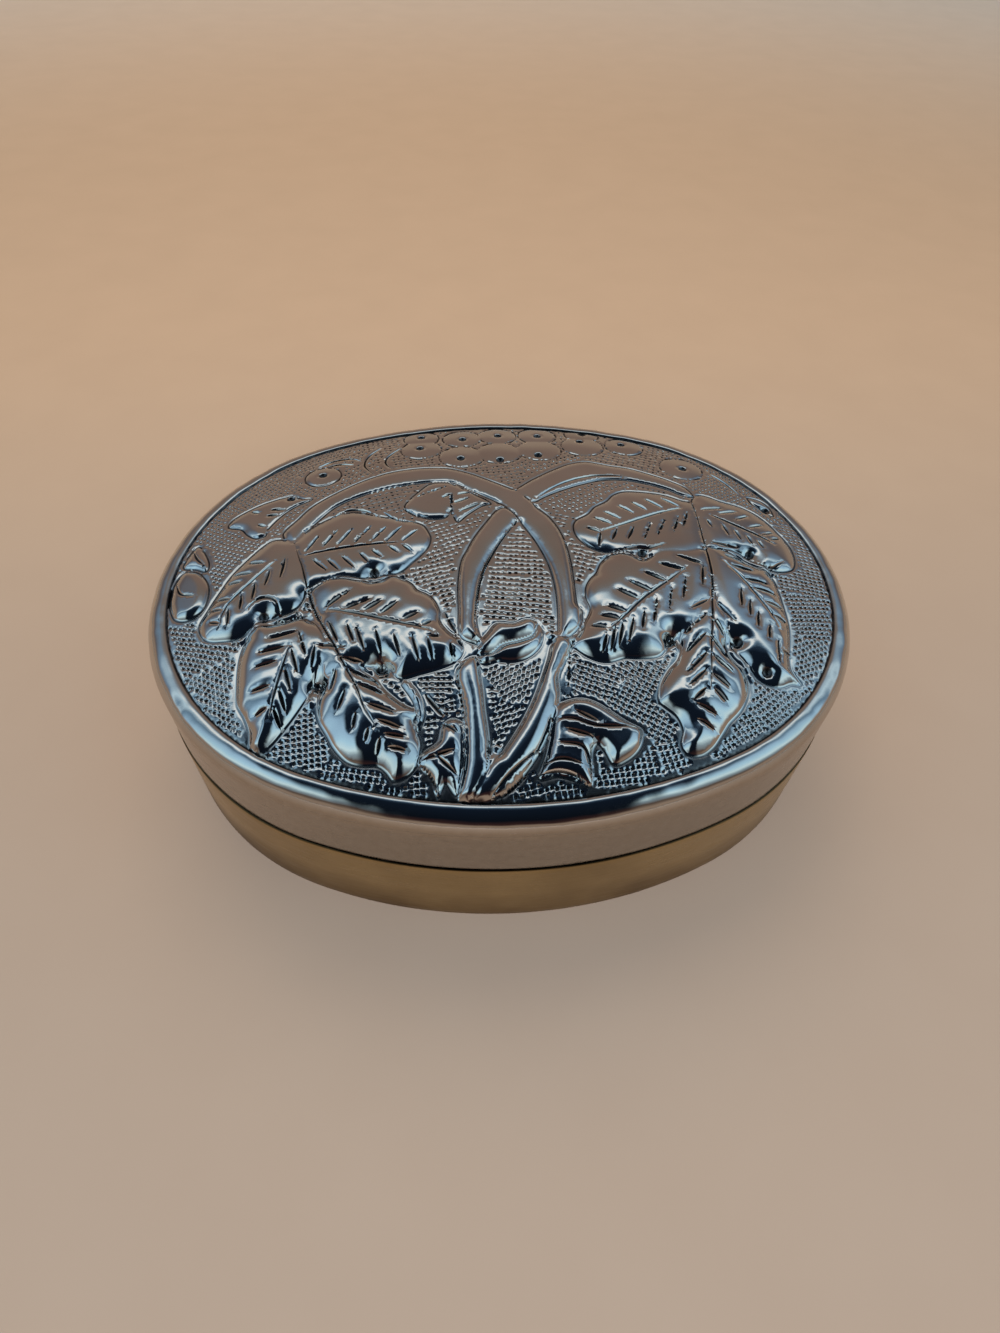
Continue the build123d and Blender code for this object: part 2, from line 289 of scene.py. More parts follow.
MIDRIBS = [
    [(-29.9, 5), (-28.9, 1.5), (-28.4, 0), (-27.4, -4), (-26.4, -7.4), (-25, -11), (-23, -15.2),
     (-22.1, -17.3), (-20, -21.8), (-18.9, -25), (-16.9, -28.7)],
    [(-32, 1.8), (-34.5, -1.6), (-37.4, -5.6), (-38.3, -8), (-38.4, -10.5)],
    [(-28.6, -14.3), (-29.3, -18), (-30, -22), (-30.4, -25.5)],
    [(-24.9, -8.9), (-20, -10.6), (-15, -12.5), (-11, -13.9), (-10.2, -14.4)],
    [(-28.5, 1.8), (-25, 2.5), (-20, 3), (-14.7, 3.1)],
    [(30.1, 12), (30, 8), (29.6, 4), (29.3, 0), (28.7, -5), (27.5, -9.5), (26.5, -13.5), (25.5, -17),
     (24.5, -21), (23.7, -24), (23.2, -25.5)],
    [(28.4, 10.8), (24, 9), (18.5, 6.2), (14, 4.1)],
    [(25.6, -3.2), (22, -6.3), (18, -9.5), (15, -12.5), (12.6, -14.8), (11.8, -15.5)],
    [(30.9, -1), (33, -5.2), (35, -10.8), (36.2, -14.8)],
    [(32, 9.5), (35, 7.3), (38.5, 4.8), (41, 2.8)],
]

# The herringbone veins and other short strokes: x and y of both ends
VEINS = [
    # left leaf, upper left lobe
    (-35.2, -.5, -38.1, .1), (-36.5, -2, -38.7, -1.6), (-37.5, -5.2, -39.7, -4.6), (-38.4, -7, -40.2, -6.5),
    (-38.4, -9.4, -40, -8.8), (-33.6, 1.4, -36.2, 2), (-30.9, 2, -31.2, -2.5), (-32.8, -.2, -33.2, -3.6),
    (-34.6, -2.5, -34.6, -6), (-36.2, -4.5, -36, -7.6), (-37.6, -7, -37.4, -10),
    # left leaf, lower left lobe
    (-27.7, -12.4, -31.7, -13.2), (-27.7, -12.4, -26.4, -16.8), (-29, -14.7, -32.7, -15.3),
    (-29.9, -16.8, -33, -17.5), (-30.5, -20.4, -33, -21), (-30.6, -23.4, -32.3, -24.3),
    (-28.4, -15.2, -27.3, -19.3), (-29, -18, -28, -21.6), (-29.5, -21, -28.5, -24.2),
    (-30, -23.5, -29, -26.2),
    # left leaf, bottom lobe
    (-25.4, -15, -21.3, -15.8), (-25.4, -15, -25.8, -18.3), (-22.3, -17.2, -19.2, -17.8),
    (-21.3, -19, -18, -20.3), (-20.1, -21.3, -16.5, -22.7), (-18.8, -24.2, -15.2, -25.7),
    (-17.5, -26.5, -14.4, -27.8), (-16.7, -28.4, -14, -28.9), (-16.2, -30, -13.9, -30.6),
    (-21.3, -22, -22.2, -25), (-19.9, -25.3, -20.3, -27.6), (-18.4, -27.5, -18.8, -29.3),
    (-17, -28.8, -17.4, -30.9), (-22.6, -18.8, -23.4, -22),
    # left leaf, right lobe
    (-24.7, -8.7, -21.3, -6.1), (-22, -9.4, -18.4, -7.9), (-19.4, -10, -17, -8.4),
    (-17.2, -10.8, -14.9, -8.8), (-14.3, -12, -12.2, -10.9), (-11.9, -13.2, -10.6, -12.2),
    (-24, -11, -22.5, -14.9), (-21.5, -12, -20.5, -15.2), (-20.3, -12.6, -19.1, -16.6),
    (-17.8, -13.3, -17, -17), (-15.5, -14.2, -14.6, -17.9), (-13.2, -14.6, -12.3, -18.7),
    (-11.2, -15, -10.6, -18.7), (-8.3, -16, -8.2, -18), (-11.2, -15, -9.6, -15), (-31.4, -9.7, -27, -9.1),
    # left leaf, upper right lobe
    (-28.2, 2.6, -26.4, 6.5), (-25.9, 3.2, -23.8, 7.2), (-23.7, 3.5, -21.6, 7.3), (-21.5, 3.5, -18.9, 7.5),
    (-19.2, 3.4, -16.6, 7.3), (-16.9, 3.4, -14.5, 7.1), (-14.7, 3.1, -12.2, 6.1), (-14.5, 2.6, -13.1, 1.1),
    (-27, 1, -24.7, -1.8), (-25, .8, -23.1, -1.9), (-23, 1.2, -20.9, -1.7), (-20.5, 1.5, -19, -.7),
    (-18.8, 1.9, -17.2, .1), (-16.4, 2.5, -14.9, .8),
    # right leaf, upper left lobe
    (13.7, 7.8, 16.3, 5.9), (15.4, 9.3, 17.9, 7.1), (17.9, 10.9, 20.2, 8.7), (20.2, 11.8, 22.4, 9.6),
    (22.5, 12.9, 25.1, 10.2), (25.3, 13.4, 27.9, 10.9), (16.8, 4.9, 15.6, 2.2), (19.5, 5.6, 17.9, 2.3),
    (22.3, 6.6, 20.4, 2.5), (24.7, 7.6, 22.5, 3.3), (27.1, 8.6, 25.2, 4.2), (28.8, 9.8, 27.1, 5.9),
    (14.2, 4.1, 12.2, 5.2), (14.2, 4, 13.5, 1.2),
    # right leaf, lower left lobe
    (24.2, -.9, 27.9, -2.7), (27.9, -2.7, 26.7, -7.2), (21.3, -2.7, 24.8, -4.1), (18.7, -4.6, 21.8, -6.5),
    (16.2, -6.4, 19.4, -8.6), (14.3, -8, 17.1, -9.9), (12.5, -10.9, 14.9, -12.1),
    (11.4, -12.4, 13.9, -13.4), (10, -14, 12.1, -14.8), (24.8, -5, 23.3, -9.8), (22.3, -7.1, 20.8, -12.1),
    (19.7, -9.5, 18.3, -14.1), (17.5, -11.9, 16.6, -15.1), (15.8, -13.1, 14.5, -17.1),
    (14.2, -14, 13.1, -17.7), (13, -14.7, 12, -18.3), (11.8, -15.8, 10.9, -18.4),
    # right leaf, bottom lobe
    (27, -9.5, 23.8, -11.5), (26.1, -12.2, 22.2, -15.5), (26.3, -12.3, 27.9, -15.6),
    (25.2, -15.5, 21.9, -18.4), (25.4, -15.7, 27.1, -18.6), (24.7, -18.5, 21, -21.9),
    (25, -18.9, 27.3, -21.8), (23.9, -21.3, 20.8, -23.8), (24.4, -21.9, 26.4, -24.1), (24, -24, 25.5, -26),
    (23.2, -24, 21, -25.8), (21.4, -26.1, 24, -27.7), (21.1, -28.1, 23.3, -29.5), (28, -9.7, 29.7, -13.6),
    # right leaf, lower right lobe
    (31.7, 0, 34.8, -.9), (31.9, -2.4, 35.6, -3.4), (33, -5.2, 36.8, -6), (34, -7, 37.5, -7.9),
    (35, -9.5, 37.7, -10.2), (35.6, -11.9, 37.5, -12.7), (35.3, -17.5, 36.6, -17.9),
    (32.3, -7.1, 31.4, -10.8), (33, -9.3, 32.1, -12.5), (33.6, -11.4, 32.7, -14.4),
    (34.6, -13.6, 33.7, -16.3), (35.1, -15.9, 34.2, -20.1),
    # right leaf, upper right lobe
    (31, 10.6, 34.9, 11.4), (33.6, 9.8, 37.2, 10.9), (36, 8.5, 38.7, 9.9), (37.5, 6.6, 40.4, 7.8),
    (39.2, 5.1, 41.6, 6.2), (40.4, 4.3, 42.1, 4.8), (31.4, 8.1, 31.8, 6), (33.6, 7.2, 34, 4.1),
    (35.2, 5.9, 35.6, 3.3), (36.8, 4.7, 37.1, 2.5), (38.2, 3.6, 38.6, 1.6), (30.4, 2.5, 34.9, 1.9),
    # strokes on the vine and the small leaves
    (-20, 16, -13, 18.2), (-7.3, 17, -12.5, 14.2), (-7, 15.3, -7.3, 9), (-6.2, 14.4, -4, 15.1),
    (-7, 12.1, -4.3, 13.4), (-6.2, 9.9, -2.7, 12), (-8.6, 13.7, -7.2, 14.5), (-14.6, 11.8, -12.3, 9.2),
    (-37.6, 14.5, -36.1, 13.9), (-34.6, 14.3, -32.4, 14.1), (-35.1, 12.9, -33.4, 12.9),
    (-36.1, 10.8, -34.9, 10.3), (4.8, -28.8, 8.2, -30), (-12.3, -31.8, -8.3, -30.7),
    (-10.5, -31.4, -8.2, -33.9), (-9.7, -27, -8, -28.7), (-11.8, -22.8, -9.4, -26.2),
    (-7.7, -19.8, -7.1, -26.5), (7, -17, 5.9, -23.2), (6.2, -26.4, 9.1, -28.2), (-8.9, -10.2, -7.4, -14.2),
]

# Longer chased lines that aren't the outline of a raised part
LINES = [
    [(-25, 10.6), (-23.5, 11.8), (-22, 12.2), (-20, 11.7), (-18, 10.1)],
    [(-17.4, 11.2), (-16.2, 9.7), (-14.6, 8.6), (-12.6, 8.2)],
    [(5.5, 12.6), (8, 15), (11, 17.2), (14.5, 18.8), (18, 19.3), (20.8, 19.2)],
    [(2.2, 7.5), (0, 3.7), (-1.8, .3), (-3.5, -3.5), (-4.5, -8), (-5, -12), (-5, -15.5)],
    [(-15, 30.5), (-17.3, 26.9), (-17.2, 24.7), (-16.1, 22.9)],
    [(-18, 31.5), (-20.3, 28), (-20.8, 25), (-19, 21.5)],
    [(-28.5, 25.8), (-26, 27.3), (-23, 27.6), (-21.4, 26.6)],
    [(-27, 25.6), (-25, 26), (-22.5, 25.6)],
    [(-46.3, 0), (-45, -2.5), (-42.8, -3.3)],
    [(-45, 6.6), (-44, 4.6), (-42.6, 3)],
    [(36, 22), (38, 19), (39.3, 16)],
    [(3.6, -30.6), (6.5, -31.2), (7.3, -33), (7.2, -35.7)],
    [(2, -33), (4.3, -32.7), (6.5, -33.5)],
    [(1.2, -34.3), (3.5, -34), (5.5, -34.6), (6.7, -35.5)],
    [(3.5, -27.6), (6, -27.7), (8, -28.5), (10, -28.8), (14, -28.9)],
    [(-4.3, -30), (-4.9, -33.8)],
    [(1.8, -31), (-2, -34), (-4.5, -36.6)],
    [(0, -34), (-3.5, -36.7)],
    [(-12.7, -32), (-11.6, -33), (-10.7, -35), (-10.5, -36.3)],
    [(36.5, -.8), (38.5, -2), (40, -1.3), (41.2, -.6)],
    [(15.5, .1), (17.5, .3), (19, .7), (20.8, .5), (23.6, 1.7)],
    [(-35.2, -8), (-34.2, -6.4), (-32.8, -5.9), (-31.4, -6.5), (-30.6, -8.4)],
]

# Patches of the punched ground: a point in each, and the slope of its rows in degrees
PATCHES = [
    (-42, -12, -18), (-38, -20, -32), (-42, 10, 52), (-38, 4, 60), (-34, 20, 40), (-31, 27, 30),
    (-27, -28, 4), (-21, -34, -14), (-9, 4, -68), (-9, -6, -76), (2, 1, -6), (0, -9, -9), (-18, 14, 17),
    (14, 13, 36), (1, 21, 6), (6, 24, 35), (24, 25, -20), (38, 19, -58), (45, -2, 80), (42, -12, 4),
    (41, -18, 22), (34, -26, 34), (28, -31, 24), (9, -21, -24), (15, -25, 58), (20, -35, 12), (12, -35, 4),
    (0, -21, 28), (-2, -28, 14), (-6, -24, 2), (-10.5, -22, -5), (-11, -29, 0), (-22, 22, 40),
    (-14, 26, 10), (10, 4, 70),
]


# Turning the drawing into points and heights. Forms are a height, as a share of the emboss height, and the
# width of the rounded edge, and dents are a depth, as the same share, and a reach.

LEAF_FORM = (1.0, 3.8)
VINE_FORM = (0.8, 1.7)
SPRIG_FORM = (0.7, 1.5)
GRAPE_HEIGHT = 0.7
VEIN_DENT = (0.11, 0.65)
GRAPE_DENT = (0.25, 0.75)
PUNCH_DENT = (0.6, 1.25)
BOLDNESS = ((-18, 1.3), (-6, 1.05), (4, 0.6), (14, 0.3))    # of the embossing, from the front to the back
BLENDING = 6              # exponent that joins the groups: the higher, the sharper the joins
MEETING = 1.0             # parts of a group that are nearer than this run into one another
BODY_SHARE = 0.72         # of the height that such parts have in common
OWN_SHARE = 0.28          # of the height that each of them has by itself
OUTLINE_STEP = 0.45       # between the points of an outline
CIRCLE_POINTS = 32        # round a grape
NEARBY = 3.0              # distances to an outline are worked out this far round it
VEIN_NEARBY = 2.0         # and this far round a vein


def smooth_path(points, closed, step):
    """A Catmull-Rom curve through the points, as points about one step apart."""
    knots = np.array(points, float)
    if closed:
        knots = np.vstack([knots[-1], knots, knots[0], knots[1]])
    else:
        knots = np.vstack([2 * knots[0] - knots[1], knots, 2 * knots[-1] - knots[-2]])
    found = []
    for a, b, c, d in zip(knots, knots[1:], knots[2:], knots[3:]):
        count = max(1, int(round(np.linalg.norm(c - b) / step)))
        t = (np.arange(count) / count)[:, None]
        found.append(0.5 * (2 * b + (c - a) * t + (2 * a - 5 * b + 4 * c - d) * t ** 2
                            + (3 * b - a - 3 * c + d) * t ** 3))
    if not closed:
        found.append(knots[-2][None])
    return np.vstack(found)


def distance_to_loop(points, path, counted=None):
    """Distance of each point from a closed line, or only from the stretches of it that are counted."""
    ends = np.roll(path, -1, axis=0)
    nearest = np.full(len(points), 1e9)
    for place, (a, b) in enumerate(zip(path, ends)):
        if counted is not None and not counted[place]:
            continue
        run = b - a
        share = np.clip(((points - a) @ run) / max(run @ run, 1e-12), 0, 1)
        offset = points - a - share[:, None] * run
        nearest = np.minimum(nearest, np.einsum("ij,ij->i", offset, offset))
    return np.sqrt(nearest)


def inside_path(points, path):
    """Whether each point lies inside a closed line."""
    x, y = points[:, 0], points[:, 1]
    inside = np.zeros(len(points), bool)
    for a, b in zip(path, np.roll(path, -1, axis=0)):
        crosses = (a[1] > y) != (b[1] > y)
        if crosses.any():
            at = a[0] + (y - a[1]) / (b[1] - a[1] if b[1] != a[1] else 1e-12) * (b[0] - a[0])
            inside ^= crosses & (x < at)
    return inside


def depth_inside(points, path):
    """How deep each point lies inside a closed line, and less than zero outside it."""
    low, high = path.min(axis=0) - NEARBY, path.max(axis=0) + NEARBY
    near = np.all((points > low) & (points < high), axis=1)
    depth = np.full(len(points), -NEARBY)
    close = points[near]
    distance = distance_to_loop(close, path)
    depth[near] = np.where(inside_path(close, path), distance, -distance)
    return depth


def distance_to_strokes(points):
    """Distance of each point from the nearest vein, whose fading ends don't count."""
    nearest = np.full(len(points), 1e9)
    for x0, y0, x1, y1 in VEINS:
        low = np.minimum((x0, y0), (x1, y1)) - VEIN_NEARBY
        high = np.maximum((x0, y0), (x1, y1)) + VEIN_NEARBY
        near = np.all((points > low) & (points < high), axis=1)
        run = np.array((x1 - x0, y1 - y0))
        start = points[near] - (x0, y0)
        share = np.clip(start @ run / (run @ run), 0.12, 0.88)
        nearest[near] = np.minimum(nearest[near], np.linalg.norm(start - share[:, None] * run, axis=1))
    return nearest


def frontness(points):
    """How far towards the front points lie: 0 from 8 mm behind the lid's middle, 1 from 8 mm before it."""
    edge = 8
    share = np.clip((edge - points[:, 1]) / (2 * edge), 0, 1)
    return share ** 2 * (3 - 2 * share)


def pillow(depth, width):
    """A raised edge: 0 at the outline, rising steeply and rounding off to 1 a width further in."""
    share = np.clip(depth / width, 0, 1)
    return 1 - (1 - share) ** 2


def group_swell(points, outlines, width):
    """Height of raised parts that run into one another, as a share of their full height.

    Their common rim falls to the ground. Where two of them meet, they are parted only by a shallow valley.
    """
    depths = np.sort([depth_inside(points, outline) for outline in outlines], axis=0)
    if len(outlines) == 1:
        return pillow(depths[-1], width)
    own = pillow(depths[-1], width / 2)
    joined = (depths[-1] > 0) | (depths[-2] > -MEETING)
    rim = np.full(joined.sum(), 1e9)
    for number, outline in enumerate(outlines):
        others = [depth_inside(outline, other) for place, other in enumerate(outlines) if place != number]
        rim = np.minimum(rim, distance_to_loop(points[joined], outline, np.max(others, axis=0) < -MEETING))
    body = np.zeros(len(points))
    body[joined] = pillow(rim, width)
    return BODY_SHARE * body + OWN_SHARE * own


class Drawing:
    """The raised parts of the lid: groups of closed lines, each with a height and the width of its edge."""

    def __init__(self):
        turn = np.linspace(0, 2 * math.pi, CIRCLE_POINTS + 1)[:-1]
        circle = np.column_stack([np.cos(turn), np.sin(turn)])
        drawn = [(leaf, *LEAF_FORM) for leaf in (LEFT_LOBES, RIGHT_LOBES)]
        drawn += [(VINES, *VINE_FORM)]
        drawn += [([sprig], *SPRIG_FORM) for sprig in SPRIGS]
        self.groups = [([smooth_path(part, True, OUTLINE_STEP) for part in parts], height, width)
                       for parts, height, width in drawn]
        self.groups += [([circle * radius + (x, y)], GRAPE_HEIGHT, radius) for x, y, radius, _, _ in GRAPES]
        self.outlines = [outline for outlines, _, _ in self.groups for outline in outlines]

    def swell(self, points):
        """Height of the embossing at points of the plan, as a share of the emboss height."""
        total = np.zeros(len(points))
        for outlines, height, width in self.groups:
            total += (height * group_swell(points, outlines, width)) ** BLENDING
        total **= 1 / BLENDING
        # The metal between two veins is puffed up, since each stroke draws its surroundings down
        depth, reach = VEIN_DENT
        total -= depth * np.exp(-(distance_to_strokes(points) / reach) ** 2) * np.clip(total * 2, 0, 1)
        # Ring punches: smaller ones on the grapes, and deeper ones where lobes meet
        for places, (depth, reach) in (([grape[3:] for grape in GRAPES], GRAPE_DENT), (PUNCHES, PUNCH_DENT)):
            for x, y in places:
                square = (points[:, 0] - x) ** 2 + (points[:, 1] - y) ** 2
                total -= depth * np.exp(-square / reach ** 2)
        # The lid is nearly flush at the back and boldly embossed at the front
        return total * np.interp(points[:, 1], *zip(*BOLDNESS))

    def ground(self, points):
        """How far points lie out on the ground from the nearest raised part."""
        return -np.max([depth_inside(points, outline) for outline in self.outlines], axis=0)


def thin_out(points, taken, spacing):
    """Drops the points that lie nearer than a spacing to one already taken."""
    cells = {}
    for x, y in taken:
        cells.setdefault((int(x // spacing), int(y // spacing)), []).append((x, y))
    kept = []
    for place, (x, y) in enumerate(points):
        column, row = int(x // spacing), int(y // spacing)
        near = (p for i in (-1, 0, 1) for j in (-1, 0, 1) for p in cells.get((column + i, row + j), ()))
        if all((x - a) ** 2 + (y - b) ** 2 >= spacing ** 2 for a, b in near):
            kept.append(place)
    return kept


PATCH_REACH = 14          # rows of marks run this far out from the middle of a patch
FINE_PITCH = 0.8          # of the punching at both ends and along the front, in mark pitches
WIDE_PITCH = 0.95         # and elsewhere
BORDER_MARGIN = 0.65      # from the border line to the nearest mark's centre
RELIEF_MARGIN = 0.45      # from a raised part to the nearest mark's centre


def punch_marks(drawing, pitch, border, random):
    """Centres, turns and spacing of the square punch marks, in rows that follow each patch of the ground."""
    centres = []
    seeds = np.array([patch[:2] for patch in PATCHES], float)
    for number, (x, y, slope) in enumerate(PATCHES):
        turn = math.radians(slope)
        step = pitch * (FINE_PITCH if abs(x) > 30 or y < -20 else WIDE_PITCH)
        reach = np.arange(-PATCH_REACH, PATCH_REACH + 0.01, step)
        u, v = np.meshgrid(reach, reach)
        # The rows were punched by eye, so the marks stray a little and the rows wave
        u = u + 0.07 * step * random.standard_normal(u.shape)
        v = v * 1.04 + 0.06 * step * random.standard_normal(v.shape) + 0.03 * u * np.sin(v)
        grid = np.column_stack([(x + u * math.cos(turn) - v * math.sin(turn)).ravel(),
                                (y + u * math.sin(turn) + v * math.cos(turn)).ravel()])
        away = ((grid[:, None, :] - seeds[None]) ** 2).sum(axis=2)
        grid = grid[away.argmin(axis=1) == number]
        grid = grid[inward(grid, border) > BORDER_MARGIN]
        grid = grid[drawing.ground(grid) > RELIEF_MARGIN]
        turns = turn + np.radians(7) * random.standard_normal(len(grid))
        kept = thin_out(grid, [c[:2] for c in centres], step * 0.8)
        centres += [(*grid[place], turns[place], step) for place in kept]
    return np.array(centres)


def square_corners(centres, half):
    """The four corners of a turned square at each centre."""
    corners = []
    for dx, dy in ((1, 1), (-1, 1), (-1, -1), (1, -1)):
        c, s = np.cos(centres[:, 2]), np.sin(centres[:, 2])
        corners.append(np.column_stack([centres[:, 0] + half * (dx * c - dy * s),
                                        centres[:, 1] + half * (dx * s + dy * c)]))
    return np.vstack(corners)


# The flat sheet that is embossed

SHEET_SEED = 11           # of the small irregularities of the punching
BLOW_SEED = 5             # of how hard each punch mark is struck
COVER_EDGE = 0.05         # upright edge of the cover, under its rolled shoulder
RIM_OVERLAP = 0.12        # the sheet runs this far past the border line, up to the shoulder's lip
RIM_POINTS = 720          # round the sheet
CUT_SPACING = 0.1         # points nearer than this are left out, in a line and between lines
GRID_SPACING = 0.36       # of the plain points between lines and marks
UNDERSIDE_SPACING = 1.0   # of the points of the plainer underside
FADE = 0.9                # inside the border line, the embossing rises over this width
FLAT = 0.08               # the sheet counts as ground below this height
PAINTED_FRONT_DARKENING = ((-36, 0.56), (-30, 0.5), (-20, 0.1))       # painted dark reflection on the ground, from the front edge to its end

# Grooves: the distance from the bottom to either edge, and the depth in line depths
LINE_GROOVE = (0.24, 1.1)
VEIN_GROOVE = (0.27, 1.35)
OUTLINE_REACH = 0.24
OUTLINE_DEPTH = ((-16, 0.45), (-4, 0.9))           # from the front to the back
LINE_STEP = 0.42          # between the points of a line
VEIN_POINTS = 9           # along a vein
BURR = -0.12              # thrown up along both sides of a crisp cut
RING_STEPS = 10           # points round a ring punch
RING_PROFILE = ((0.0, 1.6), (0.34, 2.2), (0.62, 0.6), (0.85, 0.0))      # radius and depth, in line depths

# Punch marks
MARK_CLEARANCE = 0.42     # from a mark's centre to the nearest line
MARK_FLOOR = 0.68         # breadth of a mark's floor, as a share of its top
MARK_TARNISH = 0.43       # the most tarnish that stays in a mark


def field_rows(places, line=0.0, mark=0.0, number=0.0, crisp=0.0):
    """Rows of the drawing: x, y, depth of line, depth of mark, number of the mark, and 1 on a crisp cut."""
    fields = [np.broadcast_to(np.asarray(value, float), len(places)) for value in (line, mark, number, crisp)]
    return np.column_stack([places, *fields])


def groove_rows(path, reach, depth, tapered):
    """The bottom of a groove and its two edges. A tapered groove is a crisp cut that fades at both ends."""
    run = np.gradient(path, axis=0)
    run /= np.maximum(np.linalg.norm(run, axis=1), 1e-9)[:, None]
    side = np.column_stack([-run[:, 1], run[:, 0]])
    fullness = np.sin(math.pi * np.linspace(0, 1, len(path))) ** 0.6 if tapered else np.ones(len(path))
    kept = fullness > 0.3
    offset = side[kept] * (reach * fullness[kept])[:, None]
    burr = BURR if tapered else 0.0
    return np.vstack([
        field_rows(path, line=depth * fullness, crisp=float(tapered)),
        field_rows(path[kept] + offset, line=burr),
        field_rows(path[kept] - offset, line=burr),
    ])


def chased_lines(drawing):
    """Outlines of the raised parts, ribs, veins, longer lines and ring punches."""
    rows = []
    for outline in drawing.outlines:
        others = [depth_inside(outline, other) for other in drawing.outlines if other is not outline]
        clear = np.max(others, axis=0) < 0.1
        # The bold relief at the front needs little of a line round it
        depth = np.interp(outline[:, 1], *zip(*OUTLINE_DEPTH))
        rows.append(groove_rows(outline, OUTLINE_REACH, depth, False)[np.tile(clear, 3)])
    for line in MIDRIBS + LINES:
        rows.append(groove_rows(smooth_path(line, False, LINE_STEP), *LINE_GROOVE, True))
    for x0, y0, x1, y1 in VEINS:
        rows.append(groove_rows(np.linspace((x0, y0), (x1, y1), VEIN_POINTS), *VEIN_GROOVE, True))
    for centre in [grape[3:] for grape in GRAPES] + PUNCHES:
        for radius, depth in RING_PROFILE:
            turn = np.arange(RING_STEPS if radius else 1) * 2 * math.pi / RING_STEPS
            ring = np.column_stack([np.cos(turn), np.sin(turn)]) * radius + centre
            rows.append(field_rows(ring, line=depth))
    return np.vstack(rows)


def plain_grid(spacing, inset, random):
    """Points of a slightly uneven triangular grid, inside the oval at an inset."""
    tiers = np.arange(-half_width, half_width, spacing * math.sqrt(3) / 2)
    x, y = np.meshgrid(np.arange(-half_length, half_length, spacing), tiers)
    x = x + (np.arange(len(tiers)) % 2)[:, None] * spacing / 2
    grid = np.column_stack([x.ravel(), y.ravel()]) + spacing / 12 * random.standard_normal((x.size, 2))
    return grid[inward(grid, inset) > 0]


def drawn_points(drawing, sizes, border, random):
    """Every point of the cover's upper side after its rim, and the sides of the punch marks among them."""
    lines = chased_lines(drawing)
    lines = lines[inward(lines[:, :2], border) > 0.25]
    # The deepest points come first, so that they are the ones that stay
    lines = lines[np.argsort(-lines[:, 2], kind="stable")]
    lines = lines[thin_out(lines[:, :2], [], CUT_SPACING)]
    centres = punch_marks(drawing, sizes.mark_pitch, border, random)
    centres = centres[thin_out(centres[:, :2], lines[:, :2], MARK_CLEARANCE)]
    numbers = np.tile(np.arange(len(centres)), 4)
    # The marks are small at the back. At the front they are bold, and the punch throws up an uneven burr
    bold = frontness(centres)
    half = (0.2 + 0.08 * bold) * centres[:, 3] * random.uniform(0.85, 1.12, len(centres))
    burr = -0.05 * np.tile(bold, 4) * random.random(len(numbers))
    depth = np.tile(0.6 + 0.6 * bold, 4)
    tops = field_rows(square_corners(centres, half), mark=burr, number=numbers)
    bottoms = field_rows(square_corners(centres, MARK_FLOOR * half), mark=depth, number=numbers, crisp=1.0)
    taken = np.vstack([lines, tops, bottoms])
    grid = plain_grid(GRID_SPACING, border + 0.3, random)
    grid = grid[thin_out(grid, taken[:, :2], 0.75 * GRID_SPACING)]
    corner = len(lines) + np.arange(len(tops)).reshape(4, -1)
    sides = np.stack([corner, np.roll(corner, -1, axis=0)], axis=-1).reshape(-1, 2)
    return np.vstack([taken, field_rows(grid)]), sides


def triangulate(rim, points, sides):
    """Triangles over the plan that keep the rim and some sides: points, triangles and the rim's order."""
    table = np.vstack([rim, points])
    first = len(rim)
    loop = np.column_stack([np.arange(first), (np.arange(first) + 1) % first])
    edges = np.vstack([loop, np.reshape(sides, (-1, 2)) + first]).astype(int).tolist()
    found = delaunay_2d_cdt([Vector(place) for place in table[:, :2]], edges, [], 1, 1e-7)
    source = np.array([sources[0] if sources else len(table) for sources in found[3]])
    filled = np.vstack([table, np.zeros(table.shape[1])])[source]
    filled[:, :2] = [tuple(place) for place in found[0]]
    return filled, np.array(found[2]), np.argsort(source, kind="stable")[:first]


